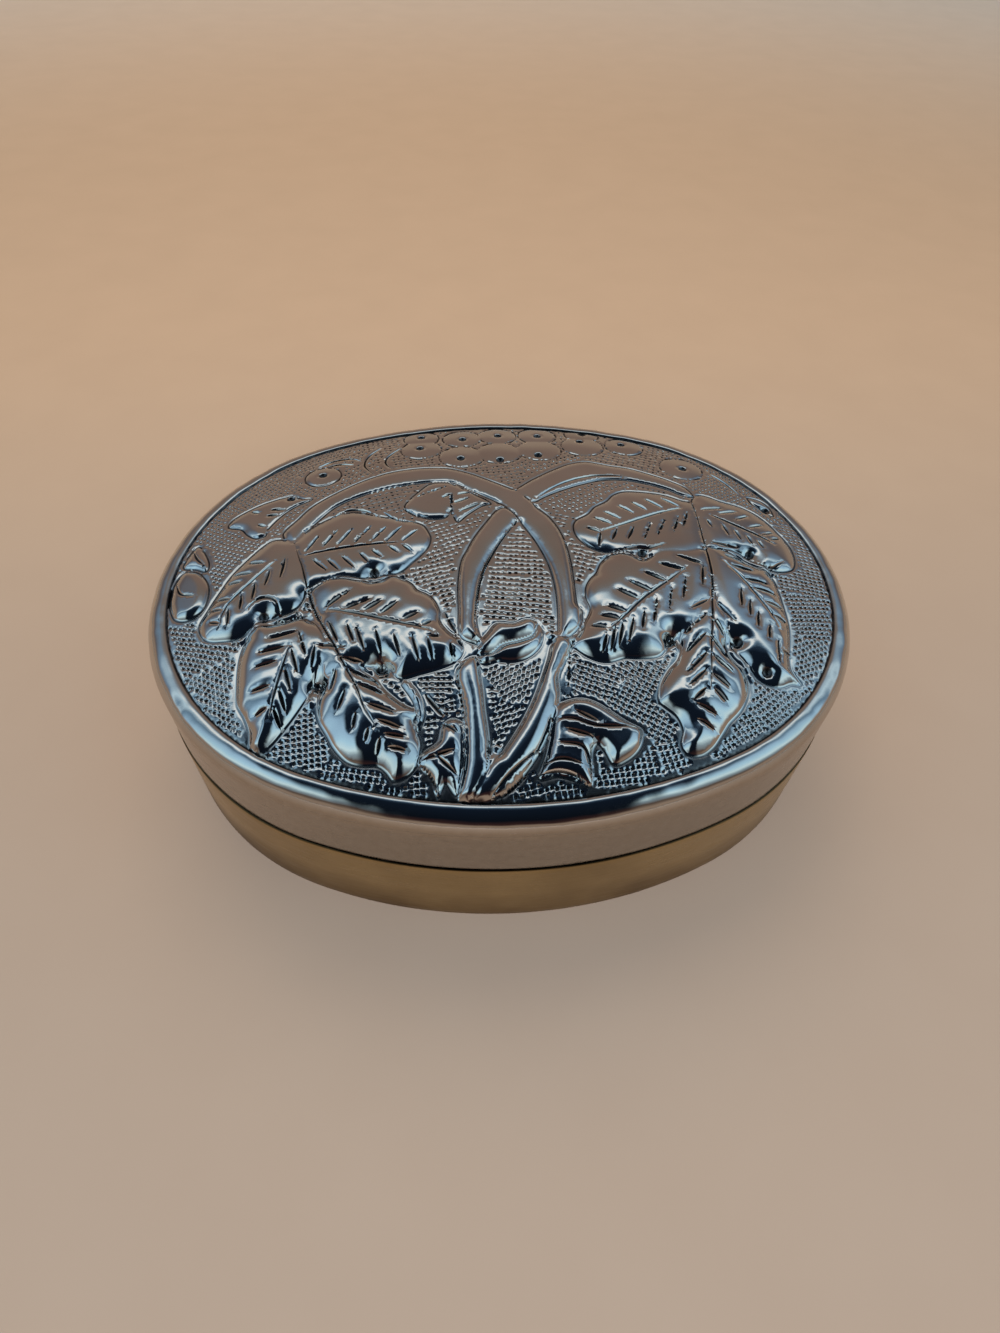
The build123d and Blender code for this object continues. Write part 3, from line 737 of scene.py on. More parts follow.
def flat_sheet(sizes):
    """The cover's drawing as a closed flat sheet, with the fields that the embossing reads."""
    drawing = Drawing()
    random = np.random.default_rng(SHEET_SEED)
    border = sizes.border_inset - RIM_OVERLAP
    rim = field_rows(oval_ring(border, RIM_POINTS), line=1.0)
    upper, upper_faces, upper_rim = triangulate(rim, *drawn_points(drawing, sizes, border, random))
    # The underside keeps the raised forms without lines and marks, one sheet thickness lower
    plain = field_rows(plain_grid(UNDERSIDE_SPACING, border + 0.8, random))
    lower, lower_faces, lower_rim = triangulate(rim, plain, [])
    lower[:, 2:] = 0
    lower_rim = lower_rim + len(upper)
    after, lower_after = np.roll(upper_rim, -1), np.roll(lower_rim, -1)
    faces = np.vstack([
        upper_faces,
        lower_faces[:, ::-1] + len(upper),
        np.column_stack([upper_rim, lower_rim, lower_after]),
        np.column_stack([upper_rim, lower_after, after]),
    ])
    points = np.vstack([upper, lower])
    place, line, mark, number, crisp = points[:, :2], *points[:, 2:].T
    fade = np.clip(inward(place, sizes.border_inset) / FADE, 0, 1)
    swell = drawing.swell(place) * fade ** 2 * (3 - 2 * fade)
    # The ground along the front is painted darker, as a painted dark reflection, except on the burrs
    front_darkened = (place[:, 1] < PAINTED_FRONT_DARKENING[-1][0]) & (swell < FLAT) & (mark >= 0)
    darkening = np.interp(place[:, 1], *zip(*PAINTED_FRONT_DARKENING)) * front_darkened
    fields = {
        "share": np.clip(plan_share(place, sizes.border_inset), 0, 1),
        "swell": swell,
        "line": line,
        "mark": mark,
        "number": number,
        # One share holds the tarnish in the lines and marks and the painted dark reflection along the front
        "tarnish_and_shade": np.clip(np.maximum.reduce([line, darkening, np.minimum(mark, MARK_TARNISH)]), 0, 1),
        "drop": np.where(np.arange(len(points)) < len(upper), 0.0, sizes.sheet),
    }
    mesh = bpy.data.meshes.new("drawing")
    mesh.from_pydata(np.column_stack([place * MM, np.zeros(len(place))]).tolist(), [], faces.tolist())
    for name, values in fields.items():
        mesh.attributes.new(name, "FLOAT", "POINT").data.foreach_set("value", values.astype(np.float32))
    mesh.polygons.foreach_set("use_smooth", ~(crisp[faces] > 0).any(axis=1))
    mesh.update()
    return mesh


def shoulder_section(sizes, crown):
    """The rolled shoulder's section, from the foot of the cover over to its inner lip and back underneath."""
    radius, lip, under = sizes.shoulder_radius, sizes.border_inset, crown - sizes.sheet
    section = [(0.0, cover_low.z), (0.0, cover_low.z + COVER_EDGE)]
    # The roll is a little narrower than it is high, and falls again to its lip
    section += [(0.9 * radius * (1 - math.cos(angle)), crown - radius + radius * math.sin(angle))
                for angle in np.radians(np.arange(6, 97, 6))]
    section += [(lip - 0.12, crown - 0.09), (lip + 0.05, crown - 0.2), (lip + 0.16, crown - 0.4)]
    section += [(lip + 0.16, under - 0.3), (sizes.sheet + radius - 1.4, under - 0.3),
                (sizes.sheet + 0.3, under - 1.1), (sizes.sheet, cover_low.z)]
    return section


# Small tools for meshes, nodes and materials

def add_node(tree, kind, inputs=None, output=0, **settings):
    """Adds a node with its settings, gives its inputs values or links, and returns one of its outputs."""
    node = tree.nodes.new(kind)
    for name, value in settings.items():
        setattr(node, name, value)
    for key, value in (inputs or {}).items():
        if isinstance(value, bpy.types.NodeSocket):
            tree.links.new(value, node.inputs[key])
        else:
            node.inputs[key].default_value = value
    return node.outputs[output] if len(node.outputs) else None


def new_object(name, mesh):
    """Links a mesh to the scene as an object at the origin."""
    made = bpy.data.objects.new(name, mesh)
    bpy.context.scene.collection.objects.link(made)
    return made


def finish_piece(source, name, tree, values):
    """Runs a Geometry Nodes tree on an object and keeps the result as a plain mesh."""
    modifier = source.modifiers.new("shape", "NODES")
    modifier.node_group = tree
    for item in tree.interface.items_tree:
        if item.item_type == "SOCKET" and item.in_out == "INPUT" and item.name in values:
            modifier[item.identifier] = values[item.name]
    bpy.context.view_layer.update()
    graph = bpy.context.evaluated_depsgraph_get()
    mesh = bpy.data.meshes.new_from_object(source.evaluated_get(graph), depsgraph=graph)
    mesh.name = name
    bpy.data.objects.remove(source)
    return new_object(name, mesh)


def paint(piece, name, values):
    """Gives a piece's vertices a share from 0 to 1 for its material to read."""
    shares = np.clip(values, 0, 1).astype(np.float32)
    piece.data.attributes.new(name, "FLOAT", "POINT").data.foreach_set("value", shares)


def dress(piece, body, node):
    """Makes a piece ride on its body and stand for a CAD node, which it hides."""
    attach(piece, body)
    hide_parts(node)


def scene_input(tree, name, kind):
    """Declares a named input of a Geometry Nodes tree. A number is 0 where it isn't set."""
    tree.interface.new_socket(name=name, in_out="INPUT", socket_type=kind)


# Geometry Nodes

def embossing_tree():
    """Raises the flat drawing of the lid to the dome, with its relief, chased lines and punch marks."""
    tree = bpy.data.node_groups.new("embossed_dome", "GeometryNodeTree")
    scene_input(tree, "Drawing", "NodeSocketGeometry")
    for name in ("Edge height", "Dome rise", "Dome fullness", "Emboss height", "Line depth", "Mark depth",
                 "Hammering"):
        scene_input(tree, name, "NodeSocketFloat")
    scene_input(tree, "Seed", "NodeSocketInt")
    scene_input(tree, "Metal", "NodeSocketMaterial")
    tree.interface.new_socket(name="Cover", in_out="OUTPUT", socket_type="NodeSocketGeometry")
    entry = add_node(tree, "NodeGroupInput").node.outputs
    share, swell, line, mark, drop = [
        add_node(tree, "GeometryNodeInputNamedAttribute", {"Name": name}, data_type="FLOAT")
        for name in ("share", "swell", "line", "mark", "drop")]
    number = add_node(tree, "GeometryNodeInputNamedAttribute", {"Name": "number"}, data_type="INT")
    power = add_node(tree, "ShaderNodeMath", {0: share, 1: entry["Dome fullness"]}, operation="POWER")
    under = add_node(tree, "ShaderNodeMath", {0: 1.0, 1: power}, operation="SUBTRACT")
    dome = add_node(tree, "ShaderNodeMath", {0: under, 1: entry["Dome rise"], 2: entry["Edge height"]},
                    operation="MULTIPLY_ADD")
    relief = add_node(tree, "ShaderNodeMath", {0: swell, 1: entry["Emboss height"], 2: dome},
                      operation="MULTIPLY_ADD")
    cut = add_node(tree, "ShaderNodeMath", {0: line, 1: entry["Line depth"]}, operation="MULTIPLY")
    # Each punch mark is struck a little deeper or shallower than the next
    blow = add_node(tree, "FunctionNodeRandomValue", {2: 0.55, 3: 1.25, "ID": number, "Seed": entry["Seed"]},
                    data_type="FLOAT", output=1)
    struck = add_node(tree, "ShaderNodeMath", {0: mark, 1: blow}, operation="MULTIPLY")
    pit = add_node(tree, "ShaderNodeMath", {0: struck, 1: entry["Mark depth"]}, operation="MULTIPLY")
    sunk = add_node(tree, "ShaderNodeMath", {0: relief, 1: cut}, operation="SUBTRACT")
    sunk = add_node(tree, "ShaderNodeMath", {0: sunk, 1: pit}, operation="SUBTRACT")
    position = add_node(tree, "GeometryNodeInputPosition")
    # The hammer's unevenness is about 7 mm from crest to crest
    uneven = add_node(tree, "ShaderNodeTexNoise", {"Vector": position, "Scale": 0.14 / MM, "Detail": 1.0},
                      noise_dimensions="2D")
    uneven = add_node(tree, "ShaderNodeMath", {0: uneven, 1: 0.5}, operation="SUBTRACT")
    # It fades out towards the border, so that the edge of the dome stays level
    inner = add_node(tree, "ShaderNodeMath", {0: under, 1: 4.0}, operation="MULTIPLY", use_clamp=True)
    uneven = add_node(tree, "ShaderNodeMath", {0: uneven, 1: inner}, operation="MULTIPLY")
    height = add_node(tree, "ShaderNodeMath", {0: uneven, 1: entry["Hammering"], 2: sunk},
                      operation="MULTIPLY_ADD")
    height = add_node(tree, "ShaderNodeMath", {0: height, 1: drop}, operation="SUBTRACT")
    height = add_node(tree, "ShaderNodeMath", {0: height, 1: MM}, operation="MULTIPLY")
    lift = add_node(tree, "ShaderNodeCombineXYZ", {"Z": height})
    raised = add_node(tree, "GeometryNodeSetPosition", {"Geometry": entry["Drawing"], "Offset": lift})
    whole = add_node(tree, "GeometryNodeRealizeInstances", {"Geometry": raised})
    dressed = add_node(tree, "GeometryNodeSetMaterial", {"Geometry": whole, "Material": entry["Metal"]})
    add_node(tree, "NodeGroupOutput", {"Cover": dressed})
    return tree


def strip_tree():
    """Sweeps a cross-section round an oval, with the slow dents of a strip that was bent by hand."""
    tree = bpy.data.node_groups.new("bent_strip", "GeometryNodeTree")
    scene_input(tree, "Plan", "NodeSocketGeometry")
    scene_input(tree, "Section", "NodeSocketObject")
    for name in ("Dents", "Dent scale", "Beating", "Beaten from"):
        scene_input(tree, name, "NodeSocketFloat")
    scene_input(tree, "Metal", "NodeSocketMaterial")
    tree.interface.new_socket(name="Strip", in_out="OUTPUT", socket_type="NodeSocketGeometry")
    entry = add_node(tree, "NodeGroupInput").node.outputs
    section = add_node(tree, "GeometryNodeObjectInfo", {"Object": entry["Section"]}, output="Geometry")
    profile = add_node(tree, "GeometryNodeMeshToCurve", {"Mesh": section})
    plan = add_node(tree, "GeometryNodeMeshToCurve", {"Mesh": entry["Plan"]})
    upright = add_node(tree, "GeometryNodeSetCurveNormal", {"Curve": plan}, mode="Z_UP")
    swept = add_node(tree, "GeometryNodeCurveToMesh", {"Curve": upright, "Profile Curve": profile})
    position = add_node(tree, "GeometryNodeInputPosition")
    dent = add_node(tree, "ShaderNodeTexNoise",
                    {"Vector": position, "Scale": entry["Dent scale"], "Detail": 1.0}, noise_dimensions="3D")
    dent = add_node(tree, "ShaderNodeMath", {0: dent, 1: 0.5}, operation="SUBTRACT")
    dent = add_node(tree, "ShaderNodeMath", {0: dent, 1: entry["Dents"]}, operation="MULTIPLY")
    # The dents push the strip in and out along the plan, and never up or down
    outward = add_node(tree, "ShaderNodeVectorMath", {0: position, 1: (1.0, 1.0, 0.0)}, operation="MULTIPLY")
    outward = add_node(tree, "ShaderNodeVectorMath", {0: outward}, operation="NORMALIZE")
    offset = add_node(tree, "ShaderNodeVectorMath", {0: outward, "Scale": dent}, operation="SCALE")
    # The roll is beaten down from above by blows about 5 mm apart, more the higher it stands
    height = add_node(tree, "ShaderNodeSeparateXYZ", {0: position}, output="Z")
    height = add_node(tree, "ShaderNodeMath", {0: height, 1: entry["Beaten from"]}, operation="SUBTRACT")
    height = add_node(tree, "ShaderNodeMath", {0: height, 1: 0.4 / MM}, operation="MULTIPLY", use_clamp=True)
    blows = add_node(tree, "ShaderNodeTexNoise", {"Vector": position, "Scale": 0.2 / MM, "Detail": 2.0},
                     noise_dimensions="3D")
    blows = add_node(tree, "ShaderNodeMath", {0: blows, 1: 0.55}, operation="SUBTRACT")
    blows = add_node(tree, "ShaderNodeMath", {0: blows, 1: height}, operation="MULTIPLY")
    blows = add_node(tree, "ShaderNodeMath", {0: blows, 1: entry["Beating"]}, operation="MULTIPLY")
    beaten = add_node(tree, "ShaderNodeVectorMath", {0: outward, 1: (0.0, 0.0, 1.0)}, operation="ADD")
    beaten = add_node(tree, "ShaderNodeVectorMath", {0: beaten, "Scale": blows}, operation="SCALE")
    offset = add_node(tree, "ShaderNodeVectorMath", {0: offset, 1: beaten}, operation="ADD")
    moved = add_node(tree, "GeometryNodeSetPosition", {"Geometry": swept, "Offset": offset})
    smooth = add_node(tree, "GeometryNodeSetShadeSmooth", {"Geometry": moved})
    whole = add_node(tree, "GeometryNodeRealizeInstances", {"Geometry": smooth})
    dressed = add_node(tree, "GeometryNodeSetMaterial", {"Geometry": whole, "Material": entry["Metal"]})
    add_node(tree, "NodeGroupOutput", {"Strip": dressed})
    return tree


def loop_mesh(name, points):
    """A closed loop of edges, in metres."""
    mesh = bpy.data.meshes.new(name)
    edges = [(place, (place + 1) % len(points)) for place in range(len(points))]
    mesh.from_pydata([tuple(c * MM for c in point) for point in points], edges, [])
    return mesh


SWEEP_POINTS = 480        # round the oval


def sweep_oval(name, tree, section, values):
    """A strip round the oval. Its section of insets and heights runs up the inside and down the outside."""
    plan_loop = [(x, y, 0) for x, y in oval_ring(0, SWEEP_POINTS)]
    # The sweep turns a section's X outwards and its Y downwards
    section_loop = [(-inset, -height, 0) for inset, height in section]
    plan = new_object(name + "_plan", loop_mesh(name + "_plan", plan_loop))
    profile = new_object(name + "_section", loop_mesh(name + "_section", section_loop))
    piece = finish_piece(plan, name, tree, {"Section": profile, **values})
    bpy.data.objects.remove(profile)
    return piece


def rounded_section(outer, inner, bottom, top, radius, rows):
    """An upright section with worn corners, as insets and heights, with rows of points up both sides."""
    corners = [(outer, bottom, 180), (inner, bottom, 270), (inner, top, 0), (outer, top, 90)]
    section = []
    for inset, height, start in corners:
        across = inset + (radius if inset == outer else -radius)
        up = height + (radius if height == bottom else -radius)
        for angle in np.radians(range(start, start + 91, 30)):
            section.append((across + radius * math.cos(angle), up + radius * math.sin(angle)))
        if height == bottom and inset == inner:
            section += [(inner, bottom + (top - bottom) * row / rows) for row in range(1, rows)]
        if height == top and inset == outer:
            section += [(outer, top - (top - bottom) * row / rows) for row in range(1, rows)]
    return section


# Materials

def new_material(name):
    """A material without nodes, and the tree that they go into."""
    material = bpy.data.materials.new(name)
    material.use_nodes = True
    tree = material.node_tree
    tree.nodes.clear()
    return material, tree


def nickel_silver():
    """Nickel silver sheet, hammered, chased and hand polished.

    A copper, nickel and zinc alloy: a slightly warm white metal. The polish leaves fine scratches on the high
    parts, and dark tarnish stays in the lines and punch marks that a cloth can't reach. The same dark colour
    is painted along the front of the punched ground as a painted dark reflection, and along the band's lower
    edge as painted shade in the seam.
    """
    colours = bpy.context.scene.trinket_colours
    material, tree = new_material("polished_nickel_silver")
    place = add_node(tree, "ShaderNodeTexCoord", output="Object")
    # This share holds the tarnish in the cuts, marks and border line, and painted shade: along the front of
    # the ground and in the seam under the band
    tarnish_and_shade = add_node(tree, "ShaderNodeAttribute", attribute_name="tarnish_and_shade", output="Fac")
    # Cloudy tarnish in patches about 12 mm across
    cloud = add_node(tree, "ShaderNodeTexNoise", {"Vector": place, "Scale": 0.085 / MM, "Detail": 4.0})
    cloud = add_node(tree, "ShaderNodeMapRange", {0: cloud, 1: 0.35, 2: 0.75, 3: 0.0, 4: 0.35})
    # Grime in specks about 1 mm across
    grime = add_node(tree, "ShaderNodeTexNoise", {"Vector": place, "Scale": 0.9 / MM, "Detail": 3.0})
    grime = add_node(tree, "ShaderNodeMapRange", {0: grime, 1: 0.3, 2: 0.7, 3: 0.8, 4: 1.0})
    # The tarnish starts a little way down the side of each cut
    dark = add_node(tree, "ShaderNodeMapRange", {0: tarnish_and_shade, 1: 0.2, 2: 0.65}, interpolation_type="SMOOTHSTEP")
    dark = add_node(tree, "ShaderNodeMath", {0: dark, 1: grime}, operation="MULTIPLY", use_clamp=True)
    tint = add_node(tree, "ShaderNodeMix", {0: cloud, 6: linear(colours.silver), 7: linear("#a2968a")},
                    data_type="RGBA", output=2)
    # The upright side is rubbed to a satin, and handling leaves a thin brown film on it
    rubbed = add_node(tree, "ShaderNodeAttribute", attribute_name="rubbed", output="Fac")
    satin = add_node(tree, "ShaderNodeMix", {0: grime, 6: linear(colours.satin), 7: linear("#a5988a")},
                     data_type="RGBA", output=2)
    tint = add_node(tree, "ShaderNodeMix", {0: rubbed, 6: tint, 7: satin}, data_type="RGBA", output=2)
    colour = add_node(tree, "ShaderNodeMix", {0: dark, 6: tint, 7: linear(colours.tarnish_and_shade_colour)},
                      data_type="RGBA", output=2)
    # Hairline polishing scratches, about 0.15 mm apart and eight times as long
    stretched = add_node(tree, "ShaderNodeMapping",
                         {"Vector": place, "Scale": (0.12, 1.0, 1.0), "Rotation": (0.0, 0.0, 0.5)})
    scratch = add_node(tree, "ShaderNodeTexNoise", {"Vector": stretched, "Scale": 6.5 / MM, "Detail": 3.0})
    rough = add_node(tree, "ShaderNodeMapRange", {0: scratch, 1: 0.3, 2: 0.7, 3: 0.04, 4: 0.08})
    rough = add_node(tree, "ShaderNodeMath", {0: cloud, 1: 0.08, 2: rough}, operation="MULTIPLY_ADD")
    rough = add_node(tree, "ShaderNodeMath", {0: dark, 1: 0.3, 2: rough}, operation="MULTIPLY_ADD")
    # Lines of the rubbing, about 0.15 mm apart up the band and long round it
    along = add_node(tree, "ShaderNodeMapping", {"Vector": place, "Scale": (0.04, 0.04, 1.0)})
    lines = add_node(tree, "ShaderNodeTexNoise", {"Vector": along, "Scale": 6.5 / MM, "Detail": 3.0})
    lines = add_node(tree, "ShaderNodeMath", {0: lines, 1: rubbed}, operation="MULTIPLY")
    rough = add_node(tree, "ShaderNodeMath", {0: lines, 1: 0.3, 2: rough}, operation="MULTIPLY_ADD",
                     use_clamp=True)
    scratch = add_node(tree, "ShaderNodeMath", {0: lines, 1: 4.0, 2: scratch}, operation="MULTIPLY_ADD")
    bump = add_node(tree, "ShaderNodeBump", {"Height": scratch, "Strength": 0.03, "Distance": 0.05 * MM})
    shader = add_node(tree, "ShaderNodeBsdfPrincipled",
                      {"Base Color": colour, "Metallic": 1.0, "Roughness": rough, "Normal": bump})
    add_node(tree, "ShaderNodeOutputMaterial", {"Surface": shader})
    return material


def aged_brass_with_painted_shade():
    """Rolled brass strip, rubbed along its length and long handled.

    The rubbing leaves fine lines along the strip. A brown film darkens it in cloudy patches, and it is
    painted darker towards the foot, as painted shade and a painted reflection of the floor, and lighter
    towards the right.
    """
    colours = bpy.context.scene.trinket_colours
    material, tree = new_material("aged_brass_with_painted_shade")
    place = add_node(tree, "ShaderNodeTexCoord", output="Object")
    height = add_node(tree, "ShaderNodeSeparateXYZ", {0: place}, output="Z")
    # The film and the painted shade are cloudy, in patches about 14 mm across
    cloud = add_node(tree, "ShaderNodeTexNoise", {"Vector": place, "Scale": 0.07 / MM, "Detail": 5.0})
    # Painted shade and a painted reflection of the floor: darker towards the foot
    foot = add_node(tree, "ShaderNodeMapRange", {0: height, 1: 0.0, 2: 7 * MM, 3: 0.85, 4: 0.15})
    # The right side is lighter
    side = add_node(tree, "ShaderNodeSeparateXYZ", {0: place}, output="X")
    side = add_node(tree, "ShaderNodeMapRange", {0: side, 1: -40 * MM, 2: 40 * MM, 3: 0.15, 4: -0.3})
    foot = add_node(tree, "ShaderNodeMath", {0: foot, 1: side}, operation="ADD")
    darkening = add_node(tree, "ShaderNodeMath", {0: cloud, 1: 0.5}, operation="SUBTRACT")
    darkening = add_node(tree, "ShaderNodeMath", {0: darkening, 1: 1.3, 2: foot}, operation="MULTIPLY_ADD",
                    use_clamp=True)
    colour = add_node(tree, "ShaderNodeMix",
                      {0: darkening, 6: linear(colours.brass), 7: linear(colours.brass_film_and_shade)},
                      data_type="RGBA", output=2)
    # Painted shade in the seam under the lid, along the top edge of the wall and the foot of the collar that
    # stands in it
    top = wall_high.z * MM
    seam_shade = add_node(tree, "ShaderNodeMapRange", {0: height, 1: top - 0.25 * MM, 2: top})
    above_seam = add_node(tree, "ShaderNodeMapRange", {0: height, 1: top + 0.2 * MM, 2: top + 0.6 * MM})
    seam_shade = add_node(tree, "ShaderNodeMath", {0: seam_shade, 1: above_seam}, operation="SUBTRACT", use_clamp=True)
    colour = add_node(tree, "ShaderNodeMix", {0: seam_shade, 6: colour, 7: linear("#2b2018")},
                      data_type="RGBA", output=2)
    # Lines of the rubbing, about 0.2 mm apart up the wall and long round it
    stretched = add_node(tree, "ShaderNodeMapping", {"Vector": place, "Scale": (0.05, 0.05, 1.0)})
    lines = add_node(tree, "ShaderNodeTexNoise", {"Vector": stretched, "Scale": 5.0 / MM, "Detail": 4.0})
    rough = add_node(tree, "ShaderNodeMapRange", {0: lines, 1: 0.3, 2: 0.7, 3: 0.24, 4: 0.4})
    rough = add_node(tree, "ShaderNodeMath", {0: darkening, 1: 0.1, 2: rough}, operation="MULTIPLY_ADD")
    bump = add_node(tree, "ShaderNodeBump", {"Height": lines, "Strength": 0.25, "Distance": 0.08 * MM})
    shader = add_node(tree, "ShaderNodeBsdfPrincipled",
                      {"Base Color": colour, "Metallic": 1.0, "Roughness": rough, "Normal": bump})
    add_node(tree, "ShaderNodeOutputMaterial", {"Surface": shader})
    return material


def matt_paper():
    """Uncoated paper: no gloss, and faintly cloudy."""
    colours = bpy.context.scene.trinket_colours
    material, tree = new_material("matt_paper")
    place = add_node(tree, "ShaderNodeTexCoord", output="Object")
    # Clouds about 17 mm across, with the paper's fibres as their finest detail
    mottle = add_node(tree, "ShaderNodeTexNoise", {"Vector": place, "Scale": 0.06 / MM, "Detail": 5.0})
    mottle = add_node(tree, "ShaderNodeMapRange", {0: mottle, 1: 0.3, 2: 0.7, 3: 0.0, 4: 0.06})
    # Painted light: the paper is lighter and warmer towards the back
    back = add_node(tree, "ShaderNodeSeparateXYZ", {0: place}, output="Y")
    back = add_node(tree, "ShaderNodeMapRange", {0: back, 1: -0.06, 2: 0.14}, interpolation_type="SMOOTHSTEP")
    paper = add_node(tree, "ShaderNodeMix", {0: back, 6: linear(colours.floor), 7: linear("#c8a888")},
                     data_type="RGBA", output=2)
    # Far from the box it is paler, which makes up for the weaker light there
    far = add_node(tree, "ShaderNodeVectorMath", {0: place}, operation="LENGTH", output="Value")
    far = add_node(tree, "ShaderNodeMapRange", {0: far, 1: 0.25, 2: 0.9}, interpolation_type="SMOOTHSTEP")
    paper = add_node(tree, "ShaderNodeMix", {0: far, 6: paper, 7: linear("#f2dfcc")},
                     data_type="RGBA", output=2)
    colour = add_node(tree, "ShaderNodeMix", {0: mottle, 6: paper, 7: linear("#8d735c")},
                      data_type="RGBA", output=2)
    shader = add_node(tree, "ShaderNodeBsdfPrincipled",
                      {"Base Color": colour, "Roughness": 0.9, "Specular IOR Level": 0.2})
    add_node(tree, "ShaderNodeOutputMaterial", {"Surface": shader})
    return material


# The studio

# The camera, from a fit to the outlines of the photographed box. It looks at a point of the plane through the
# top of the lid's band. Angles are in degrees and places in millimetres.
CAMERA_RISE = 50.43
CAMERA_TURN = -6.26
CAMERA_ROLL = 2.40
CAMERA_AIM = (-1.75, -14.96)
CAMERA_DISTANCE = 102.45
FOCAL_PIXELS = 760        # focal length, where the picture's long side has FRAME_PIXELS
FRAME_PIXELS = 1333

# The paper, in metres
FLOOR_REACH = 3
BACKDROP_FOOT = 0.9
BACKDROP_BEND = 0.4
BACKDROP_HEIGHT = 2.0
BACKDROP_STEPS = 96

# Soft panels over the floor: name, place, aim, size, power and colour
LAMPS = (
    ("warm_panel", (-0.06, 0.40, 0.60), (0.0, 0.18, 0.0), 0.50, 1.9, "#ffe4c8"),
    ("cool_panel", (0.0, -0.44, 0.44), (0.0, -0.02, 0.0), 0.40, 3.5, "#f6f4ff"),
)

# The room in one turn over the box, from the horizon behind it (0) to the horizon in front (180 degrees):
# warm walls, a soft window panel high up and the dark shade that the camera looks through
OVERHEAD = (
    (0, "#857167"), (24, "#816f66"), (38, "#7c7069"), (45, "#7a7674"), (50, "#8492a0"), (54, "#c4dcea"),
    (57, "#f8feff"), (61, "#eefaff"), (65, "#6b8aa4"), (70, "#26374a"), (80, "#121c2a"), (140, "#0d131c"),
    (163, "#3a2624"), (173, "#66544a"), (180, "#9d8a78"),
)

# The same at the left and right, where the panel shows past the shade
BESIDE = (
    (0, "#746358"), (30, "#636166"), (48, "#7793ad"), (60, "#c6e4f5"), (70, "#6585a0"), (84, "#a3cbe9"),
    (100, "#b6e3fc"), (118, "#d6f5ff"), (132, "#8fa5b1"), (150, "#5c4f47"), (180, "#9d8a78"),
)


def turn_ramp(tree, turn, stops):
    """Colours by the turn over the box, given in degrees."""
    colours = add_node(tree, "ShaderNodeValToRGB", {0: turn})
    elements = colours.node.color_ramp.elements
    for place, (degrees, colour) in enumerate(stops):
        # A new ramp comes with two stops
        stop = elements[place] if place < 2 else elements.new(degrees / 180)
        stop.position = degrees / 180
        stop.color = linear(colour)
    return colours


def soft_room():
    """A world that the metal mirrors: a plain warm room with one soft panel, split by the camera's shade."""
    world = bpy.data.worlds.new("soft_room")
    world.use_nodes = True
    tree = world.node_tree
    tree.nodes.clear()
    direction = add_node(tree, "ShaderNodeTexCoord", output="Generated")
    split = add_node(tree, "ShaderNodeSeparateXYZ", {0: direction}).node.outputs
    turn = add_node(tree, "ShaderNodeMath", {0: split["Z"], 1: split["Y"]}, operation="ARCTAN2")
    turn = add_node(tree, "ShaderNodeMath", {0: turn, 1: math.pi}, operation="DIVIDE", use_clamp=True)
    aside = add_node(tree, "ShaderNodeMath", {0: split["X"]}, operation="ABSOLUTE")
    aside = add_node(tree, "ShaderNodeMapRange", {0: aside, 1: 0.34, 2: 0.56},
                     interpolation_type="SMOOTHSTEP")
    overhead = turn_ramp(tree, turn, OVERHEAD)
    beside = turn_ramp(tree, turn, BESIDE)
    above = add_node(tree, "ShaderNodeMix", {0: aside, 6: overhead, 7: beside}, data_type="RGBA", output=2)
    # Plain walls stand all round, and give way to the ramps between 7 and 20 degrees above the floor
    high = add_node(tree, "ShaderNodeMapRange", {0: split["Z"], 1: 0.12, 2: 0.34},
                    interpolation_type="SMOOTHSTEP")
    colour = add_node(tree, "ShaderNodeMix", {0: high, 6: linear("#958374"), 7: above},
                      data_type="RGBA", output=2)
    room = add_node(tree, "ShaderNodeBackground", {"Color": colour, "Strength": 1.25})
    add_node(tree, "ShaderNodeOutputWorld", {"Surface": room})
    return world


def backdrop_mesh():
    """Paper that curves up from the floor all round, as a mesh in metres."""
    profile = [(BACKDROP_FOOT + BACKDROP_BEND * math.sin(angle), BACKDROP_BEND * (1 - math.cos(angle)))
               for angle in np.radians(range(0, 91, 10))]
    profile.append((BACKDROP_FOOT + BACKDROP_BEND, BACKDROP_HEIGHT))
    steps = BACKDROP_STEPS
    turns = [2 * math.pi * step / steps for step in range(steps)]
    points = [(radius * math.cos(turn), radius * math.sin(turn), rise)
              for radius, rise in profile for turn in turns]
    faces = [(row + step, row + steps + step, row + steps + (step + 1) % steps, row + (step + 1) % steps)
             for row in range(0, steps * (len(profile) - 1), steps) for step in range(steps)]
    mesh = bpy.data.meshes.new("paper_backdrop")
    mesh.from_pydata(points, [], faces)
    mesh.polygons.foreach_set("use_smooth", [True] * len(faces))
    return mesh


# Operators

# Slow dents of the strips, about 15 mm apart: how deep, and how many to the metre. The collar has none.
LID_DENTS = {"Dents": 0.12 * MM, "Dent scale": 0.06 / MM}
WALL_DENTS = {"Dents": 0.1 * MM, "Dent scale": 0.07 / MM}
COLLAR_DENTS = {"Dents": 0.0, "Dent scale": 1.0}
BEATING = 0.22 * MM       # height of the hammer's work on the shoulder
WALL_WEAR = 0.22          # radius of the base wall's worn edges
COLLAR_WEAR = 0.12        # and of the collar's
DENT_ROOM = 0.03          # the wall is drawn in by this, so that its dents stay inside the CAD wall
SEAM_SHADE = 0.2           # height of the painted shade along the band's lower edge
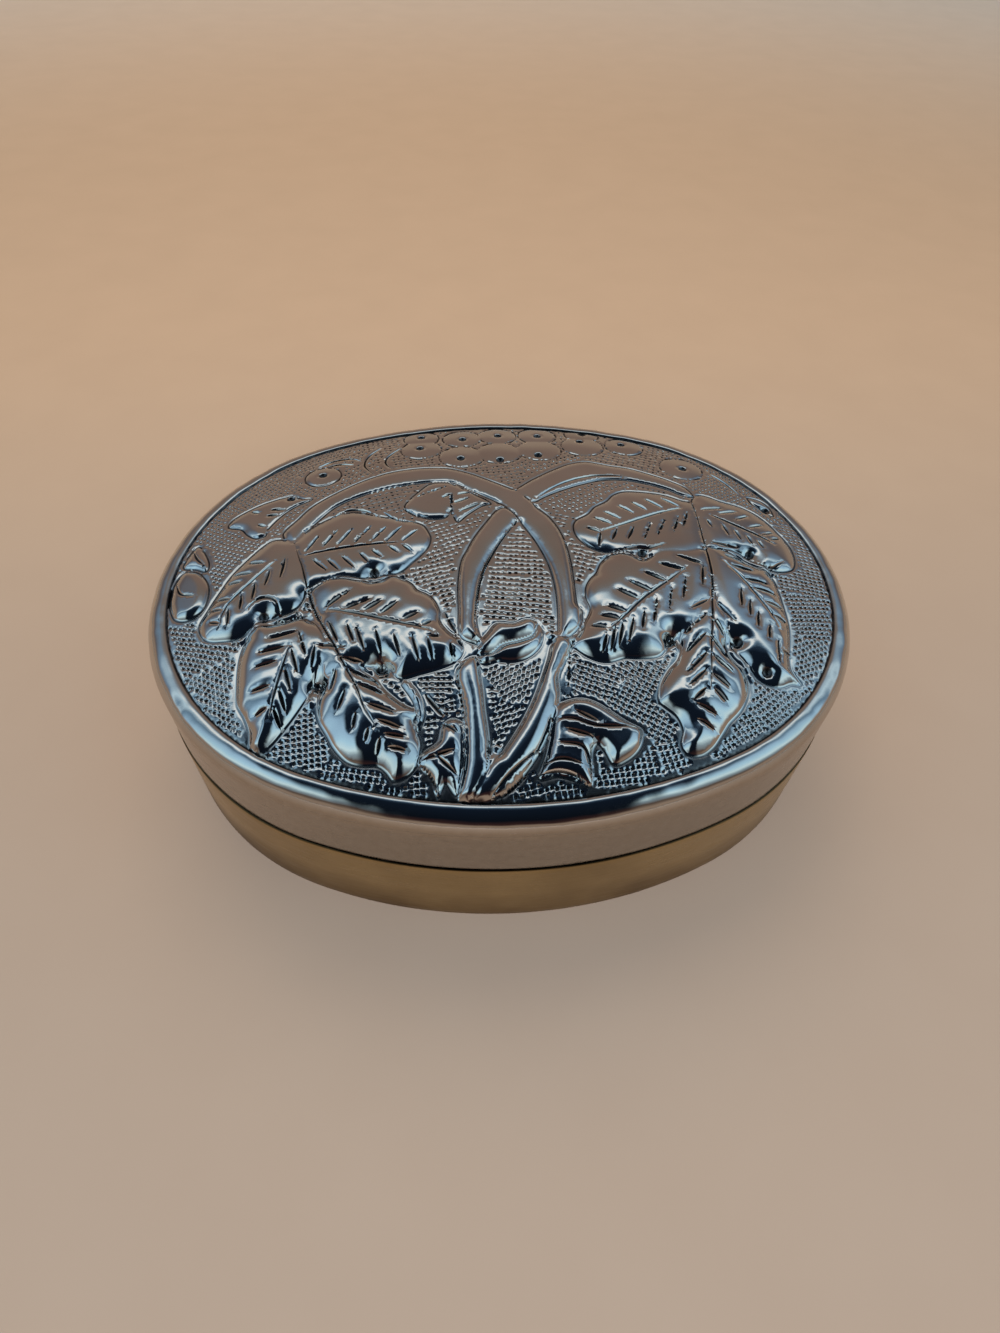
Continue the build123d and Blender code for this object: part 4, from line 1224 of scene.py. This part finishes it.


class TRINKET_OT_cover(bpy.types.Operator):
    """Builds the embossed dome and the rolled shoulder of the lid."""
    bl_idname = "trinket.cover"
    bl_label = "Embossed cover"

    def execute(self, context):
        sizes = context.scene.trinket_lid
        metal = nickel_silver()
        crown = cover_low.z + COVER_EDGE + sizes.shoulder_radius
        dome = finish_piece(new_object("drawing", flat_sheet(sizes)), "lid_dome", embossing_tree(), {
            "Edge height": crown - sizes.border_depth,
            "Dome rise": sizes.dome_rise,
            "Dome fullness": sizes.dome_fullness,
            "Emboss height": sizes.emboss_height,
            "Line depth": sizes.line_depth,
            "Mark depth": sizes.mark_depth,
            "Hammering": sizes.hammering,
            "Seed": BLOW_SEED,
            "Metal": metal,
        })
        dress(dome, "lid", "lid_cover")
        section = shoulder_section(sizes, crown)
        shoulder = sweep_oval("lid_shoulder", strip_tree(), section[::-1], {
            **LID_DENTS,
            "Beating": BEATING,
            "Beaten from": (crown - sizes.shoulder_radius) * MM,
            "Metal": metal,
        })
        # Tarnish lies in the border line along the lip, and the foot of the roll is rubbed like the band
        places = np.array([vertex.co for vertex in shoulder.data.vertices]) / MM
        paint(shoulder, "tarnish_and_shade", (inward(places[:, :2], 0) - sizes.border_inset + 0.25) / 0.3)
        paint(shoulder, "rubbed", (crown - 0.9 - places[:, 2]) / 1.2)
        dress(shoulder, "lid", "lid_cover")
        return {"FINISHED"}


class TRINKET_OT_band(bpy.types.Operator):
    """Builds the plain upright band of the lid."""
    bl_idname = "trinket.band"
    bl_label = "Lid band"

    def execute(self, context):
        sizes = context.scene.trinket_base
        # The band's worn top edge is soldered inside the foot of the cover, so that no groove shows there
        top = band_high.z + sizes.edge_radius
        section = rounded_section(0.0, sizes.band, band_low.z, top, sizes.edge_radius, 8)
        metal = bpy.data.materials["polished_nickel_silver"]
        band = sweep_oval("lid_side_band", strip_tree(), section, {**LID_DENTS, "Metal": metal})
        heights = np.array([vertex.co.z for vertex in band.data.vertices]) / MM
        paint(band, "rubbed", np.ones(len(heights)))
        # Painted shade in the seam, along the band's lower edge
        paint(band, "tarnish_and_shade", (band_low.z + SEAM_SHADE - heights) / SEAM_SHADE)
        dress(band, "lid", "lid_band")
        return {"FINISHED"}


class TRINKET_OT_base(bpy.types.Operator):
    """Builds the wall, floor and collar of the base."""
    bl_idname = "trinket.base"
    bl_label = "Brass base"

    def execute(self, context):
        sizes = context.scene.trinket_base
        metal = aged_brass_with_painted_shade()
        tree = strip_tree()
        inset = half_length - wall_high.x + DENT_ROOM
        section = rounded_section(inset, inset + sizes.wall, wall_low.z, wall_high.z, WALL_WEAR, 10)
        wall = sweep_oval("base_side_wall", tree, section, {**WALL_DENTS, "Metal": metal})
        dress(wall, "base", "base_wall")
        inset = half_length - collar_high.x
        section = rounded_section(inset, inset + sizes.collar, collar_low.z, collar_high.z, COLLAR_WEAR, 6)
        collar = sweep_oval("base_inner_collar", tree, section, {**COLLAR_DENTS, "Metal": metal})
        dress(collar, "base", "base_collar")
        # The floor is one plate, so the CAD node stays and only takes the metal
        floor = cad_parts["base_floor"]
        floor.data.materials.clear()
        floor.data.materials.append(metal)
        return {"FINISHED"}


class TRINKET_OT_studio(bpy.types.Operator):
    """Sets up the paper floor, the soft lights and the camera."""
    bl_idname = "trinket.studio"
    bl_label = "Studio"

    def execute(self, context):
        scene = context.scene
        mesh = bpy.data.meshes.new("paper_floor")
        corners = ((-1, -1), (1, -1), (1, 1), (-1, 1))
        mesh.from_pydata([(FLOOR_REACH * x, FLOOR_REACH * y, 0) for x, y in corners], [], [(0, 1, 2, 3)])
        floor = new_object("paper_floor", mesh)
        paper = matt_paper()
        floor.data.materials.append(paper)
        backdrop = new_object("paper_backdrop", backdrop_mesh())
        backdrop.data.materials.append(paper)
        # The light and the mirrored room pass through the backdrop, as if it stood outside them
        backdrop.visible_diffuse = False
        backdrop.visible_glossy = False
        backdrop.visible_shadow = False
        for lamp in LAMPS:
            self.hang_lamp(scene, *lamp)
        scene.world = soft_room()
        self.place_camera(scene)
        scene.view_settings.view_transform = "Standard"
        return {"FINISHED"}

    def hang_lamp(self, scene, name, place, aim, size, power, colour):
        """A soft panel that lights the floor. Metal doesn't show it, because it mirrors the room instead."""
        light = bpy.data.lights.new(name, "AREA")
        light.size = size
        light.energy = power
        light.color = linear(colour)[:3]
        lamp = bpy.data.objects.new(name, light)
        scene.collection.objects.link(lamp)
        lamp.location = place
        lamp.rotation_euler = (Vector(aim) - Vector(place)).to_track_quat("-Z", "Y").to_euler()
        lamp.visible_glossy = False

    def place_camera(self, scene):
        """Puts the camera where the photograph was taken from."""
        rise, turn, roll = (math.radians(angle) for angle in (CAMERA_RISE, CAMERA_TURN, CAMERA_ROLL))
        back = Vector((math.sin(turn) * math.cos(rise), -math.cos(turn) * math.cos(rise), math.sin(rise)))
        level = Vector((math.cos(turn), math.sin(turn), 0))
        upright = back.cross(level)
        right = level * math.cos(roll) + upright * math.sin(roll)
        up = upright * math.cos(roll) - level * math.sin(roll)
        place = (Vector((*CAMERA_AIM, band_high.z)) + back * CAMERA_DISTANCE) * MM
        camera = bpy.data.objects.new("camera", bpy.data.cameras.new("camera"))
        scene.collection.objects.link(camera)
        camera.matrix_world = Matrix.Translation(place) @ Matrix((right, up, back)).transposed().to_4x4()
        camera.data.lens = FOCAL_PIXELS / FRAME_PIXELS * camera.data.sensor_width
        camera.data.clip_start = 0.01
        scene.camera = camera


class TRINKET_PT_panel(bpy.types.Panel):
    """Lists the sizes, the colours and the steps that build the box."""
    bl_label = "Trinket Box"
    bl_idname = "TRINKET_PT_panel"
    bl_space_type = "VIEW_3D"
    bl_region_type = "UI"
    bl_category = "Trinket Box"

    def draw(self, context):
        for group in (context.scene.trinket_lid, context.scene.trinket_base, context.scene.trinket_colours):
            for name in group.bl_rna.properties.keys():
                if name not in ("rna_type", "name"):
                    self.layout.prop(group, name)
        for step in STEPS:
            self.layout.operator(step.bl_idname)


STEPS = (TRINKET_OT_cover, TRINKET_OT_band, TRINKET_OT_base, TRINKET_OT_studio)
GROUPS = {"trinket_lid": LidSizes, "trinket_base": BaseSizes, "trinket_colours": Colours}


def register():
    for kind in (*GROUPS.values(), *STEPS, TRINKET_PT_panel):
        bpy.utils.register_class(kind)
    for name, kind in GROUPS.items():
        setattr(bpy.types.Scene, name, bpy.props.PointerProperty(type=kind))


def unregister():
    for name in GROUPS:
        delattr(bpy.types.Scene, name)
    for kind in reversed((*GROUPS.values(), *STEPS, TRINKET_PT_panel)):
        bpy.utils.unregister_class(kind)


def main():
    """Builds the whole scene."""
    register()
    bpy.ops.trinket.cover()
    bpy.ops.trinket.band()
    bpy.ops.trinket.base()
    bpy.ops.trinket.studio()


if __name__ == "__main__":
    main()
